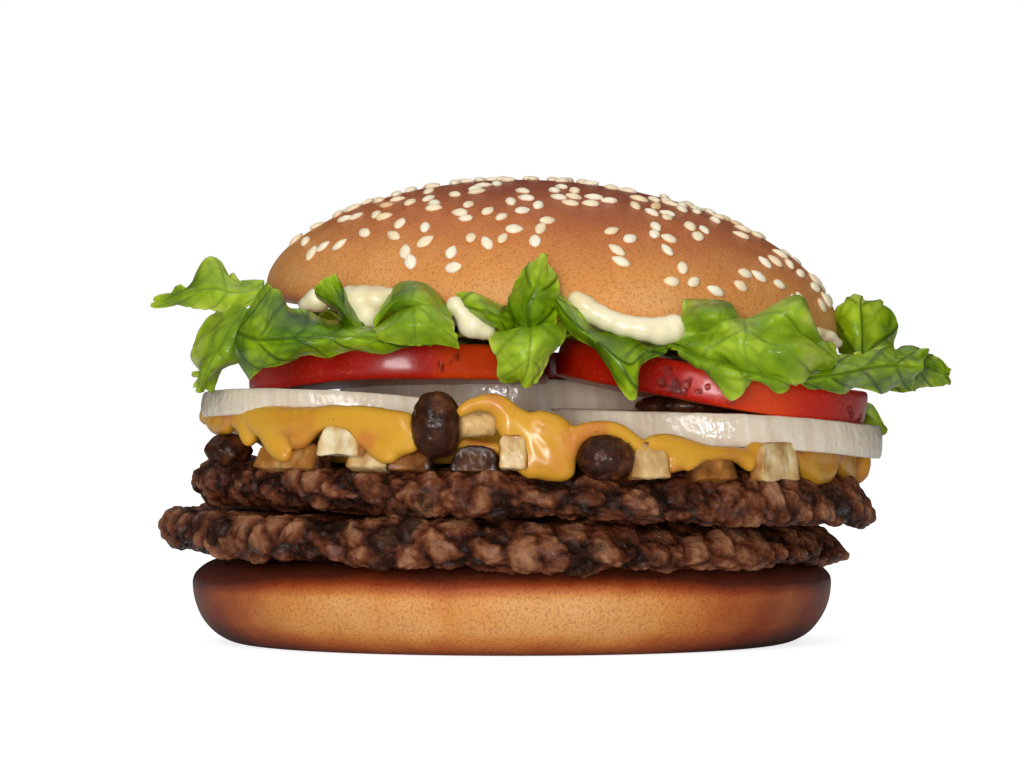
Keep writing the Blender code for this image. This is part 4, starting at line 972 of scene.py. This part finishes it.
# rows of each leaf from its root, every row of points across it: picture x, y, depth
leaves = {
    "leaf_far_left": {"ruffle": 0.7, "rows": [
        [(264, 281, -32), (262, 290, -35), (258, 302, -35)], [(238, 281, -28), (235, 293, -33), (230, 312, -33)],
        [(214, 259, -24), (212, 290, -30), (206, 309, -29)], [(186, 285, -22), (184, 294, -27), (180, 306, -25)],
        [(155, 302, -20), (155, 304, -21), (154, 306, -21)]]},
    "leaf_left_back": {"ruffle": 0.8, "rows": [
        [(230, 306, -12), (244, 310, -14), (256, 315, -16)], [(205, 320, -8), (220, 326, -10), (238, 330, -14)],
        [(195, 352, -6), (207, 355, -8), (226, 354, -12)]]},
    "leaf_left_low": {"ruffle": 0.9, "rows": [
        [(232, 304, -34), (246, 308, -39), (258, 316, -40)], [(210, 328, -30), (228, 334, -40), (246, 340, -41)],
        [(196, 357, -28), (215, 360, -40), (240, 358, -39)], [(197, 374, -30), (205, 376, -38), (223, 373, -35)],
        [(199, 388, -31), (203, 390, -34), (209, 388, -33)]]},
    "leaf_left_fold": {"ruffle": 0.6, "rows": [
        [(268, 283, -38), (246, 315, -44), (235, 350, -46), (251, 380, -46)],
        [(273, 288, -44), (262, 325, -53), (260, 352, -55), (262, 369, -52)],
        [(287, 302, -46), (297, 328, -57), (300, 346, -59), (300, 358, -55)],
        [(312, 314, -48), (332, 330, -58), (336, 344, -59), (336, 354, -55)],
        [(346, 322, -48), (375, 333, -57), (378, 343, -58), (382, 351, -55)],
        [(372, 330, -46), (412, 338, -52), (422, 342, -53), (432, 345, -50)]]},
    "leaf_upright_left": {"ruffle": 0.4, "rows": [
        [(354, 338, -50), (363, 340, -54), (373, 334, -52)], [(338, 314, -50), (350, 320, -56), (361, 318, -52)],
        [(320, 298, -50), (338, 302, -56), (347, 300, -52)], [(315, 288, -52), (325, 279, -54), (336, 274, -54)]]},
    "leaf_arch": {"ruffle": 0.5, "rows": [
        [(384, 297, -50), (402, 283, -51), (427, 286, -52), (450, 310, -52)],
        [(378, 312, -55), (398, 298, -59), (425, 302, -60), (453, 324, -57)],
        [(372, 331, -52), (392, 318, -54), (418, 318, -55), (457, 340, -54)]]},
    "leaf_arch_low": {"ruffle": 0.5, "rows": [
        [(374, 330, -54), (400, 312, -58), (427, 306, -60), (452, 322, -58)],
        [(368, 337, -58), (398, 326, -62), (430, 324, -63), (456, 334, -61)],
        [(345, 342, -55), (400, 343, -59), (430, 345, -60), (459, 345, -58)]]},
    "leaf_small_dark": {"ruffle": 0.3, "rows": [
        [(456, 293, -54), (462, 304, -55), (470, 315, -54)], [(480, 296, -55), (485, 312, -60), (488, 325, -56)],
        [(503, 305, -54), (507, 320, -58), (505, 332, -55)], [(518, 320, -52), (519, 325, -54), (515, 332, -52)]]},
    "leaf_peak": {"ruffle": 0.7, "rows": [
        [(512, 334, -54), (530, 330, -58), (556, 324, -57)], [(508, 298, -55), (530, 305, -61), (558, 305, -58)],
        [(522, 274, -56), (538, 285, -61), (557, 288, -58)], [(540, 256, -57), (544, 255, -58), (549, 262, -57)]]},
    "leaf_flap_centre": {"ruffle": 0.6, "rows": [
        [(486, 333, -52), (515, 329, -57), (545, 320, -57), (567, 325, -54)],
        [(493, 350, -57), (518, 345, -62), (542, 342, -62), (560, 343, -58)],
        [(498, 367, -58), (518, 367, -62), (536, 364, -61), (548, 362, -58)],
        [(503, 380, -57), (517, 384, -58), (525, 385, -58), (532, 381, -57)]]},
    "leaf_flap_pointed": {"ruffle": 0.5, "rows": [
        [(556, 288, -55), (556, 300, -58), (554, 313, -56)], [(576, 312, -56), (573, 322, -61), (572, 332, -57)],
        [(599, 328, -55), (598, 342, -62), (599, 354, -58)], [(630, 340, -54), (627, 365, -62), (632, 400, -60)],
        [(652, 344, -54), (646, 352, -59), (642, 364, -58)], [(672, 344, -52), (669, 347, -54), (664, 351, -54)]]},
    "leaf_fan": {"ruffle": 1.1, "rows": [
        [(683, 300, -49), (727, 303, -51), (745, 320, -53), (798, 296, -51), (812, 328, -48)],
        [(681, 314, -55), (716, 315, -61), (745, 323, -56), (796, 312, -58), (820, 338, -50)],
        [(678, 330, -54), (708, 334, -57), (746, 335, -62), (793, 334, -54), (829, 348, -48)],
        [(674, 345, -54), (705, 348, -61), (745, 350, -63), (795, 350, -61), (840, 359, -50)],
        [(688, 354, -52), (720, 368, -58), (755, 378, -60), (800, 380, -57), (832, 368, -48)]]},
    "leaf_flap_right": {"ruffle": 0.7, "rows": [
        [(665, 343, -53), (700, 352, -56), (740, 364, -58), (780, 372, -56), (802, 374, -52)],
        [(680, 351, -57), (708, 368, -62), (742, 375, -64), (772, 380, -62), (796, 379, -57)],
        [(694, 357, -55), (730, 398, -60), (752, 381, -61), (782, 393, -60), (793, 379, -55)]]},
    "leaf_right_blade": {"ruffle": 0.7, "rows": [
        [(788, 372, -50), (798, 381, -53), (808, 389, -51)], [(840, 358, -42), (840, 374, -51), (842, 390, -46)],
        [(886, 350, -32), (886, 366, -40), (880, 390, -34)], [(928, 352, -24), (920, 368, -32), (914, 389, -26)]]},
    "leaf_right_back": {"ruffle": 0.8, "rows": [
        [(838, 352, -10), (862, 360, -12), (895, 354, -6)], [(836, 328, -8), (862, 332, -13), (896, 336, -4)],
        [(838, 309, -8), (860, 302, -11), (889, 313, -4)], [(844, 306, -8), (862, 297, -9), (880, 305, -5)]]},
    "leaf_far_right": {"ruffle": 0.6, "rows": [
        [(878, 356, -26), (884, 370, -31), (880, 390, -26)], [(912, 349, -22), (912, 366, -28), (908, 389, -24)],
        [(933, 355, -19), (933, 370, -23), (931, 387, -20)], [(948, 371, -17), (950, 377, -18), (948, 383, -17)]]},
    "leaf_small_low": {"ruffle": 0.2, "rows": [
        [(857, 404, 8), (857, 410, 8), (857, 418, 8)], [(872, 406, 6), (870, 418, 2), (866, 428, 4)],
        [(887, 432, 4), (886, 434, 3), (882, 434, 4)]]},
}


def leafPiece(node, spot, ruffle, draw):
    # spot(s, t) is the leaf's middle surface in millimetres, both shares from 0 to 1
    length = sum((spot(i / 12, 0.5) - spot((i + 1) / 12, 0.5)).length for i in range(12))
    width = max(sum((spot(s, i / 12) - spot(s, (i + 1) / 12)).length for i in range(12)) for s in (0.25, 0.5, 0.75))
    down = max(16, min(150, int(length / leafLook["step"])))
    across = max(16, min(150, int(width / leafLook["step"])))
    pickNone()
    bpy.ops.mesh.primitive_grid_add(x_subdivisions=across, y_subdivisions=down, size=2.0)
    piece = bpy.context.object
    piece.name = piece.data.name = camel(node)
    rimValues, veinValues, blisterValues = [], [], []
    for vertex in piece.data.vertices:
        s, t = (vertex.co.y + 1) / 2, (vertex.co.x + 1) / 2
        # the rim is torn and toothed a little, so the border wanders in and out
        inS = min(s, 1 - s) * length
        inT = min(t, 1 - t) * width
        toBorder = min(inS if s > 0.5 else 99.0, inT)
        tooth = leafLook["tooth"] * lump(Vector((s * length, t * width, draw * 9.0)), leafLook["toothGap"], draw)
        pull = math.exp(-toBorder / 1.6)
        s2 = max(0.0, min(1.0, s - (tooth * pull / length if s > 0.5 else 0.0)))
        t2 = t + (1 if t < 0.5 else -1) * tooth * pull / width
        t2 = max(-0.03, min(1.03, t2))
        inside = min(1.0, max(0.0, t2))
        here = spot(s2, inside)
        overS = spot(min(1.0, s2 + 0.01), inside) - spot(max(0.0, s2 - 0.01), inside)
        overT = spot(s2, min(1.0, t2 + 0.01)) - spot(s2, max(0.0, min(1.0, t2) - 0.01))
        normal = overS.cross(overT)
        normal = normal.normalized() if normal.length > 1e-9 else Vector((0, -1, 0))
        x, y = (t - 0.5) * width, s * length
        # midrib, side veins that sweep towards the tip, and a finer net between them
        mid = math.exp(-(abs(x) / (leafLook["midrib"] - leafLook["taper"] * s)) ** 2)
        sweep = y - 0.75 * abs(x) + 1.2 * lump(Vector((x, y, draw)), 9)
        band = abs(math.remainder(sweep, leafLook["veinGap"]))
        side = math.exp(-(band / leafLook["sideVein"]) ** 2) * min(1.0, abs(x) / 1.5)
        bent = Vector((x + 1.5 * lump(Vector((x, y, 3.0)), 5), y, draw * 5))
        near, beyond = noise.voronoi(bent / leafLook["net"])[0][:2]
        netLine = math.exp(-((beyond - near) / leafLook["netLine"]) ** 2)
        blister = min(1.0, (beyond - near) * 1.4)
        vein = max(mid, side, leafLook["netShare"] * netLine)
        border = math.exp(-toBorder / 1.0)
        phase = 2 * math.pi * (y if inT < inS else x) / leafLook["wave"] + draw
        wave = math.sin(phase) * math.exp(-toBorder / 4.0) + 0.9 * lump(Vector((x, y, draw)), 7.0)
        lift = ruffle * wave + leafLook["blister"] * (blister - max(mid, side))
        lift *= min(1.0, 0.15 + 3 * s)
        vertex.co = (here + normal * lift) * mm
        rimValues.append(border)
        veinValues.append(vein)
        blisterValues.append(blister)
    for name, values in (("rim", rimValues), ("vein", veinValues), ("blister", blisterValues)):
        storeValues(piece, name, values)
    wall = piece.modifiers.new("Wall", "SOLIDIFY")
    wall.thickness = leafLook["thickness"] * mm
    wall.offset = 0.0
    wall.material_offset = 1
    piece.data.materials.append(leafMaterials[0])
    piece.data.materials.append(leafMaterials[1])
    applyModifiers(piece)
    return finishPiece(mend(piece), None, [node])


for number, (node, spec) in enumerate(leaves.items()):
    grid = [[fromPicture(*point) for point in row] for row in spec["rows"]]

    def patchSpot(s, t, grid=grid):
        return curved([curved(row, t) for row in grid], s)

    leafPiece(node, patchSpot, spec["ruffle"], number * 1.37)
print("front leaves done")

rearRule = {"count": 8, "start": 22.0, "end": 160.0, "draw": 8}


def bladeWidth(s, sharp):
    widest = 0.55
    if s < widest:
        return 0.45 + 0.55 * math.sin(math.pi / 2 * s / widest)
    return max(0.1, (1 - ((s - widest) / (1 - widest)) ** 2) ** sharp)


draw = random.Random(rearRule["draw"])
for i in range(rearRule["count"]):
    azimuth = math.radians(rearRule["start"] + (rearRule["end"] - rearRule["start"]) * i / (rearRule["count"] - 1))
    ray = Vector((math.cos(azimuth), math.sin(azimuth), 0))
    up = i % 2 == 1
    middle = Vector((crown["centre"][0] - 2, 0, underCrown(crown["centre"][0] + ray.x * 48)))
    root = middle + ray * 44 + Vector((0, 0, -1.6 if up else -2.6))
    knee = middle + ray * 58 + Vector((0, 0, -2.2 if up else 0.0))
    reach = draw.uniform(59, 61) if up else draw.uniform(61, 64)
    rise = draw.uniform(7.0, 10.0) if up else -draw.uniform(9.0, 12.0)
    if i == 7:
        rise *= 0.3  # the last stays hidden behind the leaves in front
    tip = middle + ray * reach + Vector((0, 0, rise))
    width, roll, fold = draw.uniform(15, 19), draw.uniform(-14, 14), draw.uniform(-0.1, 0.25)
    ruffle, waves, sharp = draw.uniform(1.0, 1.6), draw.uniform(1.3, 2.0), draw.uniform(0.45, 1.0)

    def bladeSpot(s, t, root=root, knee=knee, tip=tip, width=width, roll=roll, fold=fold,
                  ruffle=ruffle, waves=waves, sharp=sharp):
        across = 2 * t - 1
        spine = root * (1 - s) ** 2 + knee * 2 * s * (1 - s) + tip * s**2
        run = ((knee - root) * (1 - s) + (tip - knee) * s).normalized()
        outward = Vector((spine.x, spine.y, 0)).normalized()
        side = Vector((0, 0, 1)).cross(outward)
        side = (side - run * side.dot(run)).normalized()
        side = Matrix.Rotation(math.radians(roll) * min(1, 2 * s), 3, run) @ side
        face = run.cross(side)
        half = width / 2 * bladeWidth(s, sharp)
        wave = math.sin(2 * math.pi * waves * s + (0.8 if across > 0 else 3.4))
        lift = fold * abs(across) * half + ruffle * across * across * s * wave
        return spine + side * half * across + face * lift

    leafPiece(f"leaf_rear_{i + 1}", bladeSpot, 0.7, 20 + i * 1.1)
print("rear leaves done")

# the lettuce that runs through under the crown, its frilled rim in the gaps between the leaves
bed = {"radius": 44.0, "shift": 3.0}


def bedProfile(share):
    return bed["radius"] * math.sin(math.pi * share) ** 0.8, 0.5 - share


lettuceBed = spunPiece("lettuceBed", 320, 60, bedProfile)


def frillBed(point, normal):
    azimuth = math.atan2(point.y, point.x)
    reach = math.hypot(point.x, point.y) / bed["radius"]
    ring = Vector((math.cos(azimuth), math.sin(azimuth), 0)) * 60
    out = 1 + (0.03 * math.sin(9 * azimuth) + 0.06 * lump(ring, 9)) * reach**3
    x, y = point.x * out + bed["shift"], point.y * out
    room = underCrown(x) - bedHeight(x) - 1.4
    wave = room * (0.5 + 0.5 * math.sin(7 * azimuth)) * reach**3
    frill = 0.8 * math.sin(31 * azimuth + 3 * lump(Vector((x, y, 0)), 12)) * reach**6
    flat = 0.35 if point.z > 0 else -0.35
    return Vector((x, y, bedHeight(x) + wave + frill + flat * min(1.0, abs(point.z) * 40)))


movePoints(lettuceBed, frillBed)
for name, value in (("rim", 0.0), ("vein", 0.0), ("blister", 0.3)):
    storeValues(lettuceBed, name, [value] * len(lettuceBed.data.vertices))
finishPiece(lettuceBed, [leafMaterials[0]], ["lettuce_bed"])
print("lettuce bed done")

# studio: white paper floor, a broad soft light in front and above, and darker sides
studio = {"floor": 6.0, "key": 3.3, "fill": 0.5, "front": 7.6, "low": 0.05, "high": 0.8,
          "glow": 0.8}
pickNone()
bpy.ops.mesh.primitive_plane_add(size=studio["floor"], location=(0, 1.0, 0))
floor = bpy.context.object
floor.name = "paperFloor"
paper, tree, shader, place = newMaterial("WhitePaper", {"Roughness": 0.9, "Specular IOR Level": 0.1})
paperGrain = addNode(tree, "ShaderNodeTexNoise", {"Scale": 60.0}, {"Vector": place})
paperTone = tones(tree, paperGrain.outputs["Fac"], [(0.3, "#dadada"), (0.7, "#e0e0e0")])
tree.links.new(paperTone, shader.inputs["Base Color"])
# lit from below for the camera alone, as a light table is, so it shows white beside the shadow
shader.inputs["Emission Color"].default_value = (1, 1, 1, 1)
seen = addNode(tree, "ShaderNodeLightPath")
glow = addNode(tree, "ShaderNodeMath", {"operation": "MULTIPLY", 1: studio["glow"]},
               {0: seen.outputs["Is Camera Ray"]})
tree.links.new(glow.outputs[0], shader.inputs["Emission Strength"])
floor.data.materials.append(paper)

lights = {
    "keyLight": {"at": (-0.30, -0.95, 0.34), "size": 0.45, "power": studio["key"]},
    "fillLight": {"at": (0.55, -0.85, 0.22), "size": 0.4, "power": studio["fill"]},
    "frontLight": {"at": (-0.08, -1.25, 0.065), "size": 0.26, "power": studio["front"]},
}
for name, spec in lights.items():
    bpy.ops.object.light_add(type="AREA", location=spec["at"])
    lamp = bpy.context.object
    lamp.name = name
    lamp.data.shape = "DISK"
    lamp.data.size = spec["size"]
    lamp.data.energy = spec["power"]
    lamp.rotation_euler = (Vector((0, 0, 0.045)) - Vector(spec["at"])).to_track_quat("-Z", "Y").to_euler()

world = bpy.data.worlds.new("Studio")
bpy.context.scene.world = world
world.use_nodes = True
tree = world.node_tree
background = tree.nodes["Background"]
background.inputs["Color"].default_value = (1, 1, 1, 1)
# the sky is bright overhead and dark round the horizon; what the camera sees of it is plain white
way = addNode(tree, "ShaderNodeTexCoord")
parts = addNode(tree, "ShaderNodeSeparateXYZ", {}, {"Vector": way.outputs["Generated"]})
sky = addNode(tree, "ShaderNodeMapRange", {"interpolation_type": "SMOOTHSTEP", "From Min": 0.42, "From Max": 0.85,
                                           "To Min": studio["low"], "To Max": studio["high"]},
              {"Value": parts.outputs["Z"]})
path = addNode(tree, "ShaderNodeLightPath")
strength = addNode(tree, "ShaderNodeMix", {"data_type": "FLOAT", 3: 1.0},
                   {0: path.outputs["Is Camera Ray"], 2: sky.outputs["Result"]})
tree.links.new(strength.outputs[0], background.inputs["Strength"])
print("studio done")
